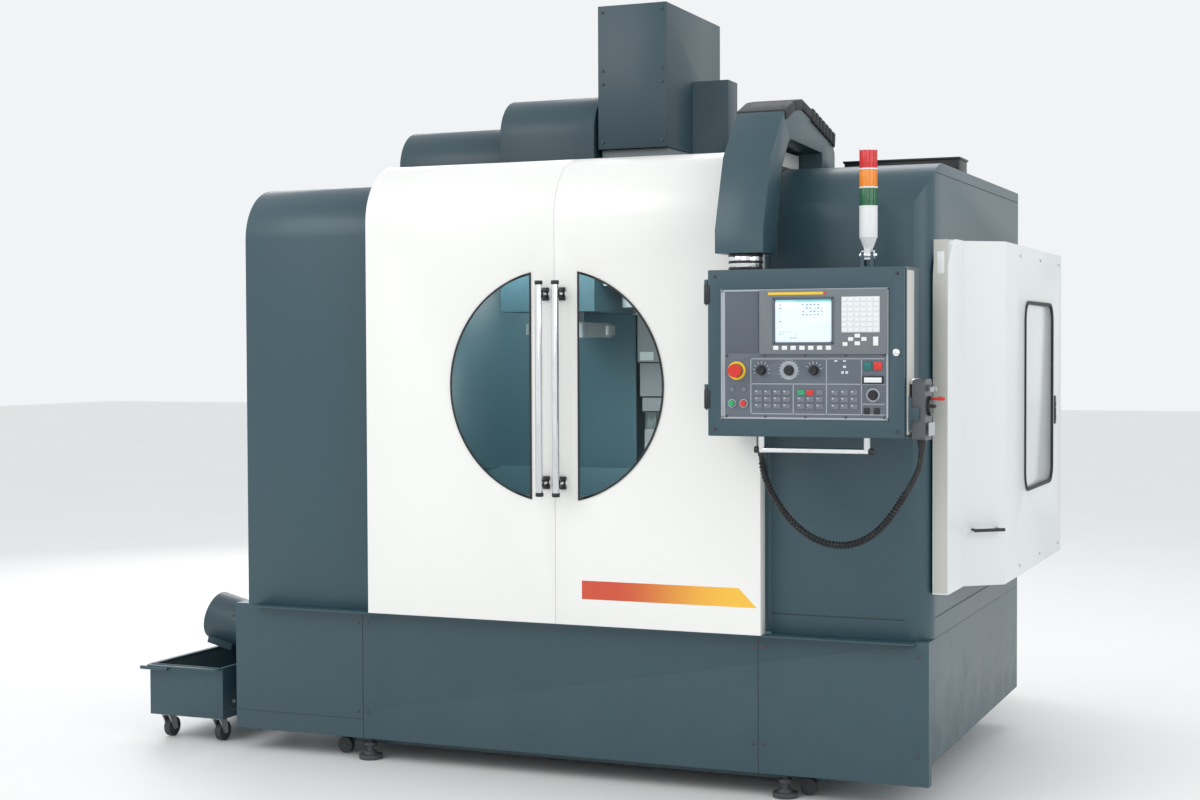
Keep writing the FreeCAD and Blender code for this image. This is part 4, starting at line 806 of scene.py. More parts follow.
on_front("mode_keys", KEY_GREY, keys((793, 823, 853, 883), KEY_ROWS, 24, 16, 2.2))
on_front("axis_keys", KEY_GREY, keys((929, 958, 988), KEY_ROWS, 23, 16, 2.2))
on_front("coolant_keys", KEY_GREY, keys((1036, 1066, 1096), KEY_ROWS, 23, 16, 2.2))
print("panel keys", 4 * 3 + 3 * 3 + 3 * 3)

# %% Key marks and lamps
mark_spots = [(x, z) for z in KEY_ROWS for x in (787, 817, 847, 877, 1030, 1060, 1090)]
mark_spots += [(x, z) for z in KEY_ROWS[1:] for x in (923, 952, 982)]
marks = [((x - 3, z + 2), (x + 2, z + 5)) for x, z in mark_spots]
on_front("key_marks", MARK_WHITE, *plates(-234.7, -233.9, 0.2, 1, marks))
run_lamp = block((918, -235.2, 1323), (940, -233, 1338))
on_front("run_lamp_key", GREEN, run_lamp, slot="green_plastic")
hold_lamp = block((947, -235.2, 1323), (969, -233, 1338))
on_front("hold_lamp_key", RED, hold_lamp, slot="red_plastic")
on_front("signal_lamps", MARK_WHITE, keys((1039, 1066), (1427,), 9, 5, 1.2, 0.5))
on_front("lower_lamps", MARK_WHITE, keys((1060, 1073), (1392,), 8, 8, 1.2, 0.5))
on_front("middle_lamp", MARK_WHITE, keys((1066,), (1409,), 9, 7, 1.2, 0.5))
on_front("teal_lamp", TEAL_KEY, block((1126, -236, 1399), (1151, -231, 1424), 1.5))
red_lamp = block((1157, -236, 1399), (1182, -231, 1424), 1.5)
on_front("red_lamp", RED, red_lamp, slot="red_plastic")
counter = block((1121, -234.5, 1357), (1187, -231, 1382))
on_front("counter_frame", BLACK, counter, slot="knob_black")
on_front("counter_window", KEY_WHITE, block((1127, -235.4, 1362), (1181, -234, 1377), 0.6))
on_front("sockets", BLACK, keys((1135, 1166), (1276,), 18, 20, 3, 1.5), slot="knob_black")
print("marks", len(mark_spots))

# %% [markdown]
# # Rotary switches and buttons
#
# The mode, feed and speed switches turn inside rings of ticks, and the feed and jog switches over a pale
# disc. A tick ring is one small bar, set round the switch by its angle. The emergency stop sits in a
# yellow collar, and each push button in a grey bezel with a lamp above it.

# %% Dials
SWITCH_Z = 1398


def tick_ring(x, radius, first, last, count, length):
    """Printed ticks from one angle to another, clockwise from the top."""
    ticks = []
    for number in range(count):
        angle = math.radians(first + (last - first) * number / (count - 1))
        outward = Vector((math.sin(angle), 0, math.cos(angle)))
        start = Vector((x, PANEL_FACE - 0.5, SWITCH_Z)) + outward * radius
        ticks.append(bar(start, start + outward * length, 0.9, 0.2, 8))
    return ticks


on_front("mode_ticks", MARK_WHITE, *tick_ring(803, 21, -110, 110, 9, 6))
on_front("feed_dial", RIM_GREY, washer((891, PANEL_FACE - 0.9, SWITCH_Z), 16.5, 29, 1.2))
on_front("feed_ticks", MARK_WHITE, *tick_ring(891, 30.5, -130, 130, 15, 3))
on_front("speed_ticks", MARK_WHITE, *tick_ring(970, 20, -60, 75, 6, 8))
on_front("jog_dial", RIM_GREY, washer((1154, PANEL_FACE - 0.9, 1324), 15.6, 21, 1.2))
collar = washer((724, -239.4, 1397), 20.8, 28.6, 7.2, 1.2)
on_front("stop_collar", YELLOW, collar, slot="red_plastic")
for name, x in (("start", 707), ("stop", 745)):
    on_front(f"{name}_bezel", RIM_GREY, washer((x, PANEL_FACE - 2.5, 1296), 9.6, 13.5, 3, 0.8))
    lamp = bar((x + 1, PANEL_FACE - 3, 1339), (x + 1, PANEL_FACE + 1, 1339), 7.5)
    on_front(f"{name}_lamp", KEY_GREY, lamp)
print("dials and collars made")

# %% [markdown]
# # The display unit
#
# A liquid crystal screen glows behind its bezel. Its picture is made by sums on the place: a strip across
# the top, a few columns and rows of blocks, and a pale ground, which read as a screen with no words.
# Seven soft keys lie below it and a block of pale keys to its right.

# %% Screen
SCREEN_LEFT, SCREEN_RIGHT = 847, 1028
SCREEN_LOW, SCREEN_HIGH = 1483, 1615
SCREEN_WIDE, SCREEN_TALL = SCREEN_RIGHT - SCREEN_LEFT, SCREEN_HIGH - SCREEN_LOW
BEZEL_EXTRA = 14


def within(value, low, high):
    return (value > low) * (value < high)


def screen_picture(name):
    """A pale screen with a coloured strip and rows of small blocks that stand for read-outs."""
    finish = Finish(name, Roughness=0.18, Coat_Weight=0.5)
    point = finish.point
    x = (axis(point, "X") - at(SCREEN_LEFT, 0, 0).x) * 1000
    z = (axis(point, "Z") - at(0, 0, SCREEN_LOW).z) * 1000
    cells = point.node("ShaderNodeMath", {0: x, 1: 6.0}, operation="PINGPONG") > 2.2
    rows = point.node("ShaderNodeMath", {0: z, 1: 5.0}, operation="PINGPONG") > 2.6
    patchy = noise(stretch(point, (45, 1, 100)), 1.0, 2) > 0.53
    blocks = cells * rows * patchy
    upper_right = within(x, 84, 165) * within(z, 76, 122)
    lower_left = within(x, 12, 70) * within(z, 8, 34)
    left_edge = within(x, 10, 22) * within(z, 44, 120)
    written = blocks * (upper_right + lower_left + left_edge)
    strip = z > 124
    ground = mix(noise(point, 9, 2), (0.60, 0.70, 0.84), (0.70, 0.80, 0.92))
    picture = mix(written * 0.75, ground, (0.10, 0.20, 0.30))
    picture = mix(strip, picture, (0.16, 0.55, 0.58))
    finish.shader.inputs["Emission Strength"].default_value = 0.22
    return finish.set(Base_Color=picture, Emission_Color=picture)


def on_display(name, material, *parts):
    on_front(name, material, *parts, slot="display")


glass = block(
    (SCREEN_LEFT + 1, DISPLAY_FACE + 1.2, SCREEN_LOW + 1),
    (SCREEN_RIGHT - 1, DISPLAY_FACE + 3.4, SCREEN_HIGH - 1), 0.4,
)
on_display("screen_glass", screen_picture("screen_picture"), glass)
middle = ((SCREEN_LEFT + SCREEN_RIGHT) / 2, DISPLAY_FACE - 1, (SCREEN_LOW + SCREEN_HIGH) / 2)
bezel = border(middle, SCREEN_WIDE + BEZEL_EXTRA, SCREEN_TALL + BEZEL_EXTRA, 5, 8, 1.5)
on_display("screen_bezel", PANEL_DARK, bezel)
soft_columns = [851 + 27.8 * number for number in range(7)]
on_display("soft_keys", KEY_WHITE, keys(soft_columns, (1467,), 17, 13, 2.6, 1.4, DISPLAY_FACE))
print("screen", SCREEN_WIDE, "by", SCREEN_TALL, "mm")

# %% Key block and panel lines
KEY_BLOCK_FACE = -239.2
on_display("key_block", KEY_WHITE, block((1058, KEY_BLOCK_FACE, 1513), (1176, -237, 1621), 1.5))
columns = [1068 + 19.6 * number for number in range(6)]
rows = [1612 - 15.2 * number for number in range(7)]
on_display("letter_keys", KEY_WHITE, keys(columns, rows, 15.5, 11.5, 2.4, 1.2, KEY_BLOCK_FACE))
cursor = [
    ((1079, 1487), (1095, 1499)), ((1120, 1487), (1136, 1499)), ((1099, 1497), (1116, 1509)),
    ((1099, 1474), (1116, 1486)), ((1062, 1472), (1077, 1484)), ((1156, 1473), (1172, 1500)),
]
on_display("cursor_keys", KEY_WHITE, *plates(-241, -237, 1.2, 2, cursor))
for name, material, left, right in (("yellow", YELLOW, 826, 1001), ("red", RED, 1003, 1010)):
    stripe = plates(-238.6, -237.5, 0.3, 1, [((left, 1629), (right, 1637))])
    on_display(f"{name}_stripe", material, *stripe)
on_front("blank_plate", PANEL_DARK, block((688, -233.4, 1452), (793, -231, 1640), 0.8))
lines = [
    ((767, 1263), (770, 1435)), ((903, 1263), (906, 1357)), ((1008, 1263), (1011, 1435)),
    ((1117, 1263), (1120, 1435)), ((767, 1355), (1190, 1358)), ((767, 1432), (1190, 1435)),
    ((1117, 1295), (1190, 1298)), ((767, 1263), (1190, 1266)),
]
on_front("panel_lines", RIM_GREY, *plates(-232.6, -231.5, 0.3, 1, lines))
# Painted highlight: the rim frame and left band are pale grey, lighter than the panel, partly trim paint and
# partly the light caught along the panel's rim.
on_front("panel_rim", RIM_GREY, border((936, -233.2, 1447.5), 530, 399, 3, 6, 3))
on_front("panel_left_band", RIM_GREY, block((677, -233, 1256), (685, -231, 1640), 0.4))
spots = product((690, 815, 943, 1070, 1189), (-235,), (1444, 1256))
on_front("panel_screws", SCREW, *bars(spots, (0, 4, 0), 3.6, 1.2, 20))
print("letter keys", len(columns) * len(rows))

# %% [markdown]
# # Where the conduit goes in
#
# A rubber boot tapers onto the conduit at each end, so that it doesn't crack where it leaves the gland.
# A boot is a hexagon nut with a tapered bar below it. A black spiral is wound round most of the conduit,
# as a helix that follows the cord's own line.


# %% Conduit boots and spiral
WRAP_RADIUS = 10.4
WRAP_PITCH = 11
WRAP_SHARE = (0.06, 0.80)
WRAP_STEPS = 10


def boot(name, x, z):
    """A nut and a taper that point down the conduit."""
    nut = bar((x, CORD_Y, z), (x, CORD_Y, z - 12), 15.5, 1, 6)
    sleeve = bar((x, CORD_Y, z - 10), (x, CORD_Y, z - 38), 13, 1, 40, 10)
    return done(name, BLACK, "pendant_box", "knob_black", nut, sleeve)


def cord_line():
    """Points along the cord's own spline, read from a copy that has no thickness."""
    bare = bpy.data.objects.new("bare_cord", cord.data.copy())
    bare.data.bevel_depth = 0
    bpy.context.scene.collection.objects.link(bare)
    graph = bpy.context.evaluated_depsgraph_get()
    line = bpy.data.meshes.new_from_object(bare.evaluated_get(graph))
    points = [vertex.co.copy() for vertex in line.vertices]
    bpy.data.meshes.remove(line)
    bpy.data.objects.remove(bare)
    return points


def wrap_points(line):
    """A helix round the line, between two shares of its length."""
    lengths = [0.0]
    for first, second in zip(line, line[1:]):
        lengths.append(lengths[-1] + (second - first).length)
    start, end = (share * lengths[-1] for share in WRAP_SHARE)
    steps = int((end - start) * 1000 / WRAP_PITCH * WRAP_STEPS)
    spots = []
    place = 0
    for step in range(steps + 1):
        reach = start + (end - start) * step / steps
        while lengths[place + 1] < reach:
            place += 1
        run = line[place + 1] - line[place]
        centre = line[place] + run * ((reach - lengths[place]) / run.length)
        across = Vector((-run.z, 0, run.x)).normalized()
        turn = math.tau * step / WRAP_STEPS
        outward = across * math.cos(turn) + Vector((0, 1, 0)) * math.sin(turn)
        spots.append(centre + outward * WRAP_RADIUS / 1000)
    return spots


def spiral_wrap(name):
    """The protective spiral: a flat-sided strip wound round the conduit."""
    curve = bpy.data.curves.new(name, "CURVE")
    curve.dimensions = "3D"
    curve.bevel_depth = 0.0022
    curve.bevel_resolution = 1
    curve.use_fill_caps = True
    spots = wrap_points(cord_line())
    spline = curve.splines.new("POLY")
    spline.points.add(len(spots) - 1)
    for point, spot in zip(spline.points, spots):
        point.co = (*spot, 1)
    wrap = bpy.data.objects.new(name, curve)
    bpy.context.scene.collection.objects.link(wrap)
    select_only(wrap)
    bpy.ops.object.convert(target="MESH")
    return done(name, BLACK, "pendant_box", "cord_black", bpy.context.object)


CORD_FITTINGS = [boot("gland_boot", 772, 1166), boot("unit_boot", 1282, 1188)]
CORD_FITTINGS.append(spiral_wrap("conduit_wrap"))
print("cord pieces", len(CORD_FITTINGS))

# %% [markdown]
# # The control box outside the panel
#
# The box hangs from the arm by a chrome collar. Its front is a door on two black hinges, its right side
# carries a pale plate behind the handwheel unit, and small screws hold its edge. The signal tower's
# lenses are ribbed tubes with white rings between them.

# %% Box fittings
BOX_RIGHT = 1251
for name, z in (("lower", 1278), ("upper", 1604)):
    barrel = bar((621, -224, z), (621, -224, z + 60), 8, 1.5)
    leaf = block((617, -233, z + 2), (634, -229.6, z + 58), 0.8)
    done(f"{name}_hinge_cover", BLACK, "pendant_front", "knob_black", barrel, leaf)

side_plate = block((BOX_RIGHT - 1, -206, 1204), (BOX_RIGHT + 1.6, -118, 1700))
done("box_side_plate", BEIGE, "pendant_box", "side_paint", side_plate)
spots = product((1226, 650), (-235,), (1690, 1214))
on_front("box_screws", SCREW, *bars(spots, (0, 6, 0), 5, 1.5, 6))
on_front(
    "box_latch", CHROME, bar((1226, -237, 1452), (1226, -229, 1452), 11, 1.5),
    block((1219, -238.2, 1450), (1233, -236, 1454), 0.5), slot="chrome",
)
print("box fittings made")


# %% Bar ends and handwheel unit
def on_box(name, material, slot, *parts):
    done(name, material, "pendant_box", slot, *parts)


spots = [(x, -208, 1152) for x in (772.5, 1134)]
on_box("bar_ends", BLACK, "knob_black", *bars(spots, (17.5, 0, 0), 10.4, 2))
on_box(
    "unit_hooks", CHROME, "chrome", block((1252, -176, 1356), (1268, -104, 1374), 2),
    block((1252, -176, 1214), (1268, -104, 1228), 2),
    bar((1282, -140, 1187), (1282, -140, 1199), 14, 2, 6),
)
spots = [(1311, y, 1340) for y in (-162, -118)]
on_box(
    "unit_switches", UNIT_GREY, "unit_grey", *bars(spots, (11, 0, 0), 8, 1.5, 24),
    block((1310.5, -178, 1200), (1313.4, -102, 1240), 1.2),
)
done(
    "dial_crank", RED, "handwheel_dial", "red_plastic",
    bar((1308, -140, 1312), (1333, -140, 1312), 4, 1, 20),
    bar((1331, -140, 1312), (1352, -140, 1312), 6.5, 2.5, 24, 5),
)
print("handwheel unit details made")

# %% Collar and arm covers
COLLAR = (722, -140)
ARM_LEFT, ARM_RIGHT = 643, 801
ARM_TOP = [(12, 2226), (112, 2267), (201, 2282), (330, 2258)]
SWIVEL = (722, 525)


def on_arm(name, material, slot, *parts):
    done(name, material, "pendant_arm", slot, *parts)


def sloping_slab(start, end, thick, overhang=4, edge=4):
    """A slab on the arm between two (y, z) points of its side view, hanging below that line."""
    start, end = at(0, *start), at(0, *end)
    run = end - start
    wide = (ARM_RIGHT - ARM_LEFT + 2 * overhang) / 1000
    middle = at((ARM_LEFT + ARM_RIGHT) / 2, 0, 0)
    angle = math.atan2(run.z, run.y)
    down = Vector((0, math.sin(angle), -math.cos(angle))) * (thick / 2000)
    centre = Vector((middle.x, (start.y + end.y) / 2, (start.z + end.z) / 2)) + down
    bpy.ops.object.select_all(action="DESELECT")
    bpy.ops.mesh.primitive_cube_add(size=1, location=centre, rotation=(angle, 0, 0))
    piece = applied((wide, run.length, thick / 1000))
    with edit_mode():
        round_edges(edge, 3)
    return piece


def bellows(start, end, count, tall):
    """Overlapping folds along the arm, each a rounded slab a little higher than the gap after it."""
    start, end, sink = Vector(start), Vector(end), Vector((0, 9))
    step = (end - start) / count
    parts = [sloping_slab(start - sink, end - sink, tall - 8, 3)]
    for number in range(count):
        first = start + step * number
        parts.append(sloping_slab(first, first + step * 0.72, tall, 7, 5))
    return parts


on_arm("collar_sleeve", CHROME, "chrome", *bars([(*COLLAR, 1712)], (0, 0, 48), 52, 2, 64))
spots = [(*COLLAR, z) for z in (1711, 1731, 1752)]
on_arm("collar_rings", BLACK, "knob_black", *bars(spots, (0, 0, 9), 54.5, 2.5, 64))
covers = [sloping_slab(low, high, 34) for low, high in zip(ARM_TOP, ARM_TOP[1:])]
on_arm("arm_top_cover", RUBBER, "knob_black", *covers)
on_arm("arm_bellows", RUBBER, "cord_black", *bellows((322, 2266), (606, 2206), 7, 46))
under = sloping_slab((446, 2129), (74, 2141), 5, -2, 1.5)
on_arm("arm_under_plate", BLACK, "knob_black", under)
base = [
    bar((*SWIVEL, 2059), (*SWIVEL, 2073), 90, 3, 72),
    bar((*SWIVEL, 2060), (*SWIVEL, 2086), 62, 4, 64),
]
on_arm("arm_base", BLACK, "knob_black", *base)
spots = product((668, 776), (471, 579), (2072,))
on_arm("arm_bolts", ZINC, "ground_steel", *bars(spots, (0, 0, 11), 9, 1.5, 6))
print("arm covers made")

# %% Signal tower
TOWER = (1100, -80)
LENSES = {
    # name: low edge, high edge, colour
    "green": (1902, 1958, (0.010, 0.135, 0.055)),
    "amber": (1962, 2015, (0.86, 0.27, 0.015)),
    "red": (2019, 2075, (0.66, 0.015, 0.02)),
}


def lens_finish(name, colour):
    """Clear coloured plastic, ribbed all round by a wave on the angle about the tower."""
    finish = Finish(name, Roughness=0.16, Coat_Weight=0.6)
    point = finish.point
    centre = at(*TOWER, 0)
    x = axis(point, "X") - centre.x
    y = axis(point, "Y") - centre.y
    angle = point.node("ShaderNodeMath", {0: y, 1: x}, operation="ARCTAN2")
    rib = point.node("ShaderNodeMath", {0: angle * 40}, operation="SINE")
    cloud = noise(point, 22, 3)
    base = mix(cloud, shade(colour, 0.8), colour)
    glow = mix(cloud, shade(colour, 0.7), colour)
    finish.shader.inputs["Emission Strength"].default_value = 0.12
    return finish.set(Base_Color=base, Emission_Color=glow, Normal=bump(rib, 0.5, 0.0009))


def ribbed_lens(low, high):
    """A tube whose every other side face is pushed out, which leaves upright ribs."""
    piece = bar((*TOWER, low), (*TOWER, high), 27.6, 0.8, 48)
    with edit_mode():
        bpy.ops.mesh.select_all(action="DESELECT")
    sides = [face for face in piece.data.polygons if abs(face.normal.z) < 0.01]
    centre = at(*TOWER, 0)
    sides.sort(key=lambda face: math.atan2(face.center.y - centre.y, face.center.x - centre.x))
    for face in sides[::2]:
        face.select = True
    with edit_mode():
        bpy.ops.mesh.select_mode(type="FACE")
        bpy.ops.mesh.extrude_faces_move(TRANSFORM_OT_shrink_fatten={"value": -0.0009})
    return piece


for name, (low, high, colour) in LENSES.items():
    finish = lens_finish(f"{name}_lens_plastic", colour)
    done(f"{name}_lens", finish, "signal_tower", "lens", ribbed_lens(low, high))
spots = [(*TOWER, z) for z in (1899, 1957.5, 2014.5, 2073.5)]
rings = bars(spots, (0, 0, 5), 28.8, 1, 56)
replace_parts(done("tower_rings", TOWER_WHITE, "signal_tower", "tower_plastic", *rings), "tower_lenses")
on_box(
    "tower_knuckle_cap", CHROME, "chrome",
    bar((TOWER[0] - 23, TOWER[1], 1752), (TOWER[0] + 23, TOWER[1], 1752), 16, 3),
    bar((TOWER[0] - 28, TOWER[1], 1752), (TOWER[0] + 28, TOWER[1], 1752), 7, 1.5, 6),
)
print("lenses", len(LENSES))

# %% [markdown]
# # Side cover
#
# The pale cover hides the operator's side door. Its front return is a folded edge in warm grey, which is
# partly its paint and partly painted shade for the shade that front-facing edge sits in, with a small
# blank plate on it; its window sits in a black rubber section; hinge barrels hold its back edge and a
# latch its middle.

# %% Side cover fittings
SIDE_X = 1424
WINDOW_SPOT = (1075, 1295)
GASKET_PROUD = 5.7
FACE_RIGHT = (90, 0, 90)


def on_cover(name, material, slot, *parts):
    return done(name, material, "side_cover", slot, *parts)


gasket = border((SIDE_X + GASKET_PROUD, *WINDOW_SPOT), 576, 662, 68, 11, 11, FACE_RIGHT)
on_cover("side_window_gasket", RUBBER, "knob_black", gasket)
pane = border((SIDE_X - 3, *WINDOW_SPOT), 588, 674, 74, None, 6, FACE_RIGHT)
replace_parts(on_cover("side_window_pane", SIDE_GLASS, "window", pane), "side_window")
# Painted shade: the return strip's beige-grey, darker than the pale cover, stands partly for its paint and
# partly for the shade on this front-facing strip.
strip = block((1261, 105.8, 690), (1306, 108, 1806), 0.8)
on_cover("cover_return_strip", BEIGE, "side_paint", strip)
rivets = bars([(1283.5, 104.2, z) for z in (1704, 1762)], (0, 1.4, 0), 2, 0.4, 16)
plate = block((1272, 104.8, 1698), (1295, 106.4, 1768), 0.6)
on_cover("cover_blank_plate", KEY_WHITE, "side_paint", plate, *rivets)
on_cover(
    "cover_latch", BLACK, "knob_black",
    block((SIDE_X - 1, 1404, 1176), (SIDE_X + 4, 1436, 1282), 2.5),
    bar((SIDE_X, 1420, 1252), (SIDE_X + 5.6, 1420, 1252), 9, 1.2),
    block((SIDE_X + 2, 1413, 1188), (SIDE_X + 5.8, 1427, 1236), 2),
)
barrels = bars([(1290, 1560, z) for z in (760, 1190, 1630)], (0, 0, 110), 8, 1.5)
on_cover("cover_hinges", BLACK, "knob_black", *barrels)
spots = product((SIDE_X - 1,), (700, 1100, 1500), (720, 1776))
on_cover("cover_bolts", ZINC, "side_paint", *bars(spots, (4.5, 0, 0), 6, 1, 6))
print("side cover fittings at", SIDE_X)

# %% [markdown]
# # Seams and bolts on the enclosure
#
# A sheet enclosure is made of panels that meet in narrow gaps with a dark gasket behind. A seam is built
# as a thin black strip that barely stands out of its panel, and each panel is held by screws along its
# folded edge. These small lines tell the eye how large the machine is.


# %% Seams and screws
def seams(name, body, slot, *spans):
    """Thin rubber strips, each between a low and a high corner, as one piece."""
    done(name, RUBBER, body, slot, *[block(low, high, 0.3, 1) for low, high in spans])


def on_machine(name, material, slot, *parts):
    done(name, material, "machine", slot, *parts)


seams(
    "skirt_seams", "machine", "enclosure_paint",
    ((-752, 7.2, 84), (-749.4, 8.6, 536)),
    ((711, 7.2, 84), (713.6, 8.6, 536)),
    ((-1312, 7.2, 158), (-753, 8.5, 159.8)),
)
seams(
    "guard_seams", "machine", "enclosure_paint",
    ((743, 59.2, 604), (1180, 60.4, 606.4)),
    ((1257.4, 150, 604), (1258.8, 1566, 606.4)),
    ((1257.4, 150, 2020), (1258.8, 1566, 2022)),
    ((-1258.8, 150, 604), (-1257.4, 1566, 606.4)),
    ((-1258.8, 700, 606), (-1257.4, 702.4, 2040)),
    ((-1258.8, 1150, 606), (-1257.4, 1152.4, 2040)),
)
spots = product((-1200, -900, 900, 1200), (620, 900, 1180, 1460), (2056,))
on_machine("roof_screws", ZINC, "ground_steel", *bars(spots, (0, 0, 6), 8, 1.2, 6))
spots = product((-1290, -770, -730, 694, 732, 1236), (5.4,), (500, 186))
on_machine("skirt_screws", SCREW, "enclosure_paint", *bars(spots, (0, 3.6, 0), 7, 1, 24))
spots = product((-1262,), (300, 678, 1128, 1540), (640, 1320, 2000))
on_machine("guard_bolts", ZINC, "enclosure_paint", *bars(spots, (5, 0, 0), 7, 1, 6))
print("seams and screws made")

# %% [markdown]
# # Roof strip and changer covers
#
# A black cable tray runs along the right of the roof, and the tall covers are closed by lids whose joints
# show as thin dark lines with screws beside them.

# %% Roof and covers
on_machine(
    "roof_tray", BLACK, "knob_black", block((840, 584, 2057), (1240, 712, 2106), 4),
    block((836, 580, 2102), (1244, 716, 2110), 2),
)
spots = [(x, 1500, 2056) for x in (-1150, 1150)]
on_machine("lifting_lugs", ZINC, "ground_steel", *bars(spots, (0, 0, 42), 16, 4, 32))
seams(
    "changer_seams", "machine", "cover_paint",
    ((-537.9, 860, 2150), (-536.6, 1326, 2152.2)),
    ((-150.4, 860, 2200), (-149.1, 1326, 2202.2)),
    ((-1003.9, 766, 2120), (-1002.6, 1294, 2122)),
)
seams(
    "head_seams", "spindle_head", "cover_paint",
    ((-136.9, 716, 2470), (-135.6, 1302, 2472.4)),
    ((-130, 1307.6, 2470), (130, 1308.9, 2472.4)),
)
spots = product((-118, 118), (706,), (2230, 2446, 2496, 2712))
head_screws = bars(spots, (0, 5, 0), 5.5, 1, 24)
done("head_screws", CHANGER, "spindle_head", "cover_paint", *head_screws)
spots = product((-515, -345, -172), (696,), (2090, 2176))
on_machine("changer_screws", CHANGER, "cover_paint", *bars(spots, (0, 5, 0), 5.5, 1, 24))
cap = block((-238, 1444, 2236), (238, 1878, 2246), 2.5)
spots = product((-214, 0, 214), (1468, 1854), (2244,))
on_machine("column_cap", IRON, "casting", cap, *bars(spots, (0, 0, 10), 9, 1.5, 6))
print("roof and cover details made")

# %% [markdown]
# # Inside the working space
#
# Seen through the windows are the guards with a bolted seam, the grey cover over the upright ways with a
# blank white plate, and the coolant nozzles on blue links. The cover is a set of boxes that slide into
# each other behind rubber wipers. The nozzles are strings of equal links.

# %% Inner guards
on_machine(
    "inner_seams", RUBBER, "interior_paint",
    block((-1253, 700, 1290), (-1249.5, 1395, 1294), 0.6, 1),
    block((-1253, 820, 964), (-1249.5, 826, 1956), 0.6, 1),
    block((1249.5, 820, 964), (1253, 826, 1956), 0.6, 1),
)
inner_bolts = []
for side in (-1, 1):
    spots = product((side * 1251,), (790, 856), (1020, 1180, 1380, 1560, 1740, 1900))
    inner_bolts += bars(spots, (side * -5, 0, 0), 9, 1.5, 6)
on_machine("inner_bolts", ZINC, "ground_steel", *inner_bolts)
lips = [block((left, 62, 545), (left + 28, 66, 1885)) for left in (-744, 716)]
on_machine("door_lips", ENCLOSURE, "enclosure_paint", *lips)
print("inner bolts and door lips made")

# %% Chip pan and lower guard
GUARD_WALL, GUARD_CORNER = 1249, 118
GUARD_FRONT, GUARD_BACK = 130, 1395
GUARD_LOW, GUARD_HIGH = 648, 972
GUARD_END = 246
on_machine(
    "chip_pan", INTERIOR, "interior_paint",
    block((-1308, 72, 152), (1244, 684, 155), 1, 1),
    block((-1308, 680, 152), (-566, 1562, 155), 1, 1),
    block((-1311, 1564, 84), (-1255, 1569, 537), 1, 1),
    block((566, 680, 152), (1244, 1562, 155), 1, 1),
)


def bent_sheet(side):
    """The side wall, a round corner and the back wall in one sheet: a plane, a spin and an extrusion."""
    wall, bend = side * GUARD_WALL, GUARD_BACK - GUARD_CORNER
    bpy.ops.object.select_all(action="DESELECT")
    bpy.ops.mesh.primitive_plane_add(
        size=1, location=at(wall, (GUARD_FRONT + bend) / 2, (GUARD_LOW + GUARD_HIGH) / 2),
        rotation=(0, math.radians(90), 0),
    )
    piece = applied(((GUARD_HIGH - GUARD_LOW) / 1000, (bend - GUARD_FRONT) / 1000, 1))
    far = at(0, bend, 0).y
    for vertex in piece.data.vertices:
        vertex.select = abs(vertex.co.y - far) < 0.001
    for edge in piece.data.edges:
        edge.select = all(piece.data.vertices[number].select for number in edge.vertices)
    for face in piece.data.polygons:
        face.select = False
    with edit_mode():
        bpy.ops.mesh.select_mode(type="EDGE")
        centre = at(wall - side * GUARD_CORNER, bend, 0)
        bpy.ops.mesh.spin(steps=16, angle=-side * math.radians(90), center=centre, axis=(0, 0, 1))
        reach = -side * (GUARD_WALL - GUARD_CORNER - GUARD_END) / 1000
        bpy.ops.mesh.extrude_edges_move(TRANSFORM_OT_translate={"value": (reach, 0, 0)})
        bpy.ops.mesh.select_all(action="SELECT")
        bpy.ops.mesh.remove_doubles(threshold=0.0001)
        bpy.ops.mesh.normals_make_consistent(inside=False)
    return thicken(piece, 3, 0.6)


for side, name in ((-1, "left"), (1, "right")):
    on_machine(f"{name}_lower_guard", INTERIOR, "interior_paint", bent_sheet(side))
print("lower guards made")

# %% Way cover
WAY_BODY = BODY_OF["way_cover"]
SECTIONS = [
    # half width, front, low, high, height of the wiper
    (238, 1353, 1407, 1700, 1407), (230, 1359, 1268, 1412, 1268), (222, 1365, 1204, 1273, 1208),
]
sections = [block((-x, y, low), (x, 1393, high), 2.5) for x, y, low, high, _ in SECTIONS]
wipers = [block((-x, y - 2, z - 3), (x, y + 3, z + 2)) for x, y, _, _, z in SECTIONS]
cover = done("way_cover_sections", COVER_GREY, WAY_BODY, "cover_grey", *sections)
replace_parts(cover, "way_cover")
done("way_cover_wipers", RUBBER, WAY_BODY, "knob_black", *wipers)
blank = block((-226, 1351.4, 1416), (-168, 1353.4, 1450), 0.4, 1)
done("way_cover_plate", KEY_WHITE, WAY_BODY, "unit_grey", blank)
on_machine(
    "fixed_way_cover", COVER_GREY, "cover_grey", block((-225, 1397, 648), (225, 1403, 1134), 1.5),
    block((-225, 1394, 900), (225, 1398, 904), 0.8),
)
print("way cover sections", len(sections))

# %% Coolant nozzles
NOZZLE_BODY = BODY_OF["coolant_nozzles"]
LINK_BLUE = plastic("blue_link", (0.02, 0.17, 0.50), 0.32)
LINK_ORANGE = plastic("orange_link", (0.72, 0.20, 0.02), 0.32)
LINK_HIGH = 15
LINK_LEAN = -1.2
LINK_COUNT = 13
links, tips = [], []
for x in (107, 124):
    # each ball link hangs below the last one and a little ahead of it
    for number in range(LINK_COUNT):
        y, z = 917 + LINK_LEAN * number, 1696 - LINK_HIGH * number
        links.append(bar((x, y, z), (x, y + LINK_LEAN, z - LINK_HIGH), 7.5, 2, 20, 10.5))
    y, z = 917 + LINK_LEAN * LINK_COUNT, 1696 - LINK_HIGH * LINK_COUNT
    tips.append(bar((x, y, z + 2), (x - 4, y - 4, z - 42), 8, 1.2, 24, 3.6))
hoses = done("nozzle_links", LINK_BLUE, NOZZLE_BODY, "nozzle_plastic", *links)
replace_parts(hoses, "coolant_nozzles")
done("nozzle_tips", LINK_ORANGE, NOZZLE_BODY, "nozzle_plastic", *tips)
print("nozzle links", len(links))

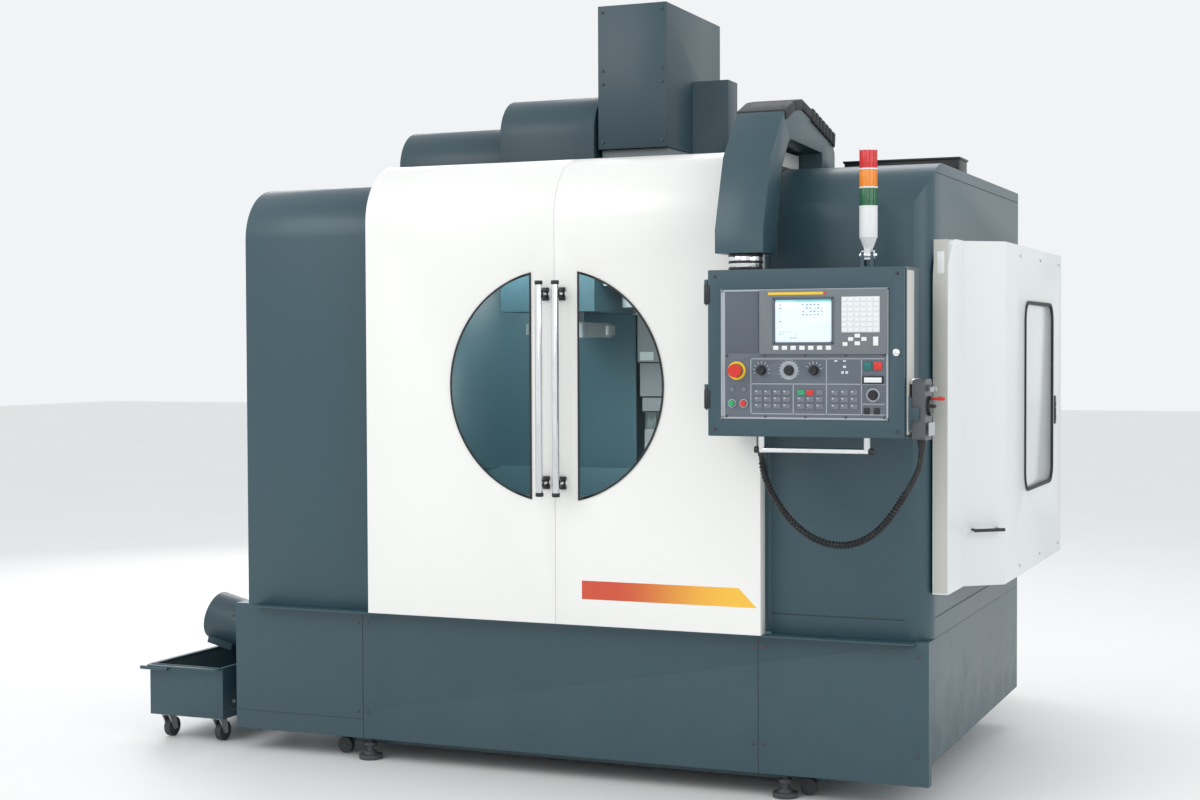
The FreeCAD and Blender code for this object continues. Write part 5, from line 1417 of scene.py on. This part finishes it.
# %% [markdown]
# # Back, tank and cart
#
# The electrical cabinet breathes through louvres: one pressed lip is made and copied down. Its door has
# three quarter-turn locks and a main switch. The tank and the cart get a rolled rim, and each cart wheel
# an axle cap, which are small parts that a plain box lacks.


# %% Electrical cabinet
BACK_Y = 2246


def louvres(x, z, count, wide):
    lip = block((x - wide / 2, BACK_Y - 4, z), (x + wide / 2, BACK_Y - 0.2, z + 9), 1.8)
    return repeated(lip, [(0, 0, 22 * number) for number in range(1, count)])


def on_cabinet(name, material, slot, *parts):
    done(name, material, "cabinet_door", slot, *parts)


vents = louvres(-90, 330, 12, 340), louvres(640, 330, 12, 340), louvres(290, 1640, 9, 420)
on_cabinet("cabinet_vents", SIDE_WHITE, "side_paint", *vents)
locks = []
for z in (620, 1120, 1620):
    locks.append(bar((-432, BACK_Y - 6, z), (-432, BACK_Y - 0.6, z), 15, 1.5))
    locks.append(block((-441, BACK_Y - 1.2, z - 2.5), (-423, BACK_Y - 0.1, z + 2.5), 0.4))
on_cabinet("cabinet_locks", CHROME, "chrome", *locks)
on_cabinet(
    "main_switch", BLACK, "knob_black",
    block((846, BACK_Y - 4, 1396), (934, BACK_Y - 1, 1484), 1.2),
    block((880, BACK_Y - 3, 1408), (900, BACK_Y - 0.1, 1472), 1.2),
)
seams(
    "cabinet_gap", "machine", "side_paint",
    ((-466, 2215, 154), (1046, 2217.5, 156)), ((-466, 2215, 1954), (1046, 2217.5, 1956)),
)
spots = [(1056.5, 2234.3, z) for z in (260, 1010, 1760)]
on_machine("cabinet_hinges", SCREW, "side_paint", *bars(spots, (0, 0, 90), 6, 1.5))
print("louvres", 12 + 12 + 9)

# %% Inside the electrical cabinet
PLATE_Y = 1896
DRIVES, BREAKERS, TERMINALS = 8, 30, 80


def in_row(piece, step, count):
    return repeated(piece, [(step * number, 0, 0) for number in range(1, count)])


plate = block((-420, 1890, 220), (1000, PLATE_Y, 1890), 1.5)
on_machine("mounting_plate", ZINC, "zinc", plate)
duct = block((-400, PLATE_Y, 1180), (980, 1960, 1240), 3)
ducts = repeated(duct, [(0, 0, z) for z in (300, 620, -420, -860)])
on_machine("cable_ducts", UNIT_GREY, "unit_grey", ducts)
drive = joined(
    block((-380, PLATE_Y, 1500), (-270, 2080, 1780), 3),
    block((-372, 2078, 1540), (-278, 2088, 1700), 2),
    block((-356, 2078, 1508), (-294, 2090, 1528), 1.5),
    *[block((-376, y, 1780), (-274, y + 6, 1790), 1, 1) for y in range(1950, 2070, 20)],
)
on_machine("servo_drives", KEY_WHITE, "unit_grey", in_row(drive, 124, DRIVES))
breaker = joined(
    block((-380, PLATE_Y, 1290), (-346, 1966, 1380), 2),
    block((-370, 1964, 1325), (-356, 1978, 1348), 1.5),
)
on_machine("breakers", KEY_GREY, "unit_grey", in_row(breaker, 36, BREAKERS))
terminal = joined(
    block((-380, PLATE_Y, 900), (-368, 1944, 960), 1.2, 1),
    bar((-374, 1942, 944), (-374, 1948, 944), 4, 0.8, 12),
)
on_machine("terminals", BEIGE, "unit_grey", in_row(terminal, 14, TERMINALS))
core = block((620, PLATE_Y, 440), (900, 2100, 680), 6)
coil = block((660, 1910, 400), (860, 2086, 720), 14, 3)
on_machine("transformer", IRON, "casting", core, coil)
print("drives", DRIVES, "breakers", BREAKERS, "terminals", TERMINALS)

# %% Rear ribs, tank and cart
ribs = [block((x - 14, 1573, 300), (x + 14, 1577.5, 1980), 2) for x in (-1080, -860, -640, 1150)]
on_machine("rear_ribs", ENCLOSURE, "enclosure_paint", *ribs)
done(
    "tank_rim_and_handle", ENCLOSURE, "coolant_tank", "enclosure_paint",
    border((5, 408, 137.6), 1888, 526, 12, 16, 5, (0, 0, 0)),
    block((-90, 140.5, 96), (90, 150, 108), 3),
)
cart_rim = border((-1564, 376, 283.6), 318, 620, 16, 12, 6, (0, 0, 0))
done("cart_rim", ENCLOSURE, "chip_cart", "enclosure_paint", cart_rim)
HUBS = {
    # wheel: left end, right end, distance behind the door face
    "cart_left_wheel": (-1690.6, -1665.4, 170),
    "cart_right_wheel": (-1462.6, -1437.4, 170),
    "cart_rear_wheels": (-1690.6, -1437.4, 642),
}
for wheel, (left, right, y) in HUBS.items():
    done(f"{wheel}_hub", ZINC, BODY_OF[wheel], "zinc", bar((left, y, 36), (right, y, 36), 11, 1.5))
print("tank and cart details made")

# %% [markdown]
# # Floor and light
#
# The machine stands in a pale studio. One very large soft box hangs over its front left, weaker ones
# fill from the right and the front, and two behind draw a line along the roof and side edges. Two small
# lamps inside the machine light the guards behind the windows, as the real work light does.

# %% Floor
def floor_finish(name):
    finish = Finish(name, Roughness=0.6)
    speck = noise(finish.point, 160, 3)
    cloud = noise(finish.point, 0.8, 3)
    base = mix(cloud * 0.5 + speck * 0.2, (0.80, 0.80, 0.79), (0.86, 0.86, 0.85))
    return finish.set(Base_Color=base, Normal=bump(speck, 0.03, 0.0005))


bpy.ops.object.select_all(action="DESELECT")
bpy.ops.mesh.primitive_plane_add(size=60, location=(0, 6, -0.001))
floor = bpy.context.object
floor.name = "studio_floor"
floor.data.materials.append(floor_finish("studio_floor_paint"))
print("floor ready")

# %% Lights
LIGHTS = {
    # name: place, aim, width, height, watts
    "key_box": ((-3.2, -5.6, 4.6), (0.0, 0.0, 1.1), 4.2, 3.2, 120),
    "fill_box": ((5.6, -3.0, 3.2), (0.6, 0.0, 1.1), 3.0, 3.4, 62),
    "front_box": ((1.2, -7.4, 2.6), (0.0, 0.0, 1.2), 3.2, 2.4, 22),
    "roof_box": ((0.4, 3.0, 5.4), (0.0, 0.0, 1.8), 5.0, 1.8, 80),
    "back_box": ((-4.6, 4.4, 3.2), (0.0, 0.6, 1.1), 3.0, 3.0, 70),
    "inner_lamp": ((-0.10, -0.62, 1.93), (0.15, 0.15, 1.1), 1.5, 0.20, 28),
    "inner_fill": ((0.62, -0.70, 1.10), (-0.3, 0.2, 1.25), 0.5, 0.5, 7),
}


def soft_light(name, place, aim, wide, high, watts):
    bpy.ops.object.light_add(type="AREA", location=place)
    light = bpy.context.object
    light.name = name
    light.data.shape = "RECTANGLE"
    light.data.size = wide
    light.data.size_y = high
    light.data.energy = watts
    light.visible_camera = False
    light.rotation_euler = (Vector(aim) - Vector(place)).to_track_quat("-Z", "Y").to_euler()


for name, settings in LIGHTS.items():
    soft_light(name, *settings)
world = bpy.data.worlds.new("studio")
bpy.context.scene.world = world
world.use_nodes = True
world.node_tree.nodes["Background"].inputs["Color"].default_value = (0.96, 0.98, 1.0, 1)
world.node_tree.nodes["Background"].inputs["Strength"].default_value = 0.92
bpy.context.scene.view_settings.view_transform = "Standard"
print("lights", len(LIGHTS))

# %% Sizes and the finish
at(CORD_ROUTE[0][0], CORD_Y, CORD_ROUTE[0][1])
bpy.context.view_layer.update()
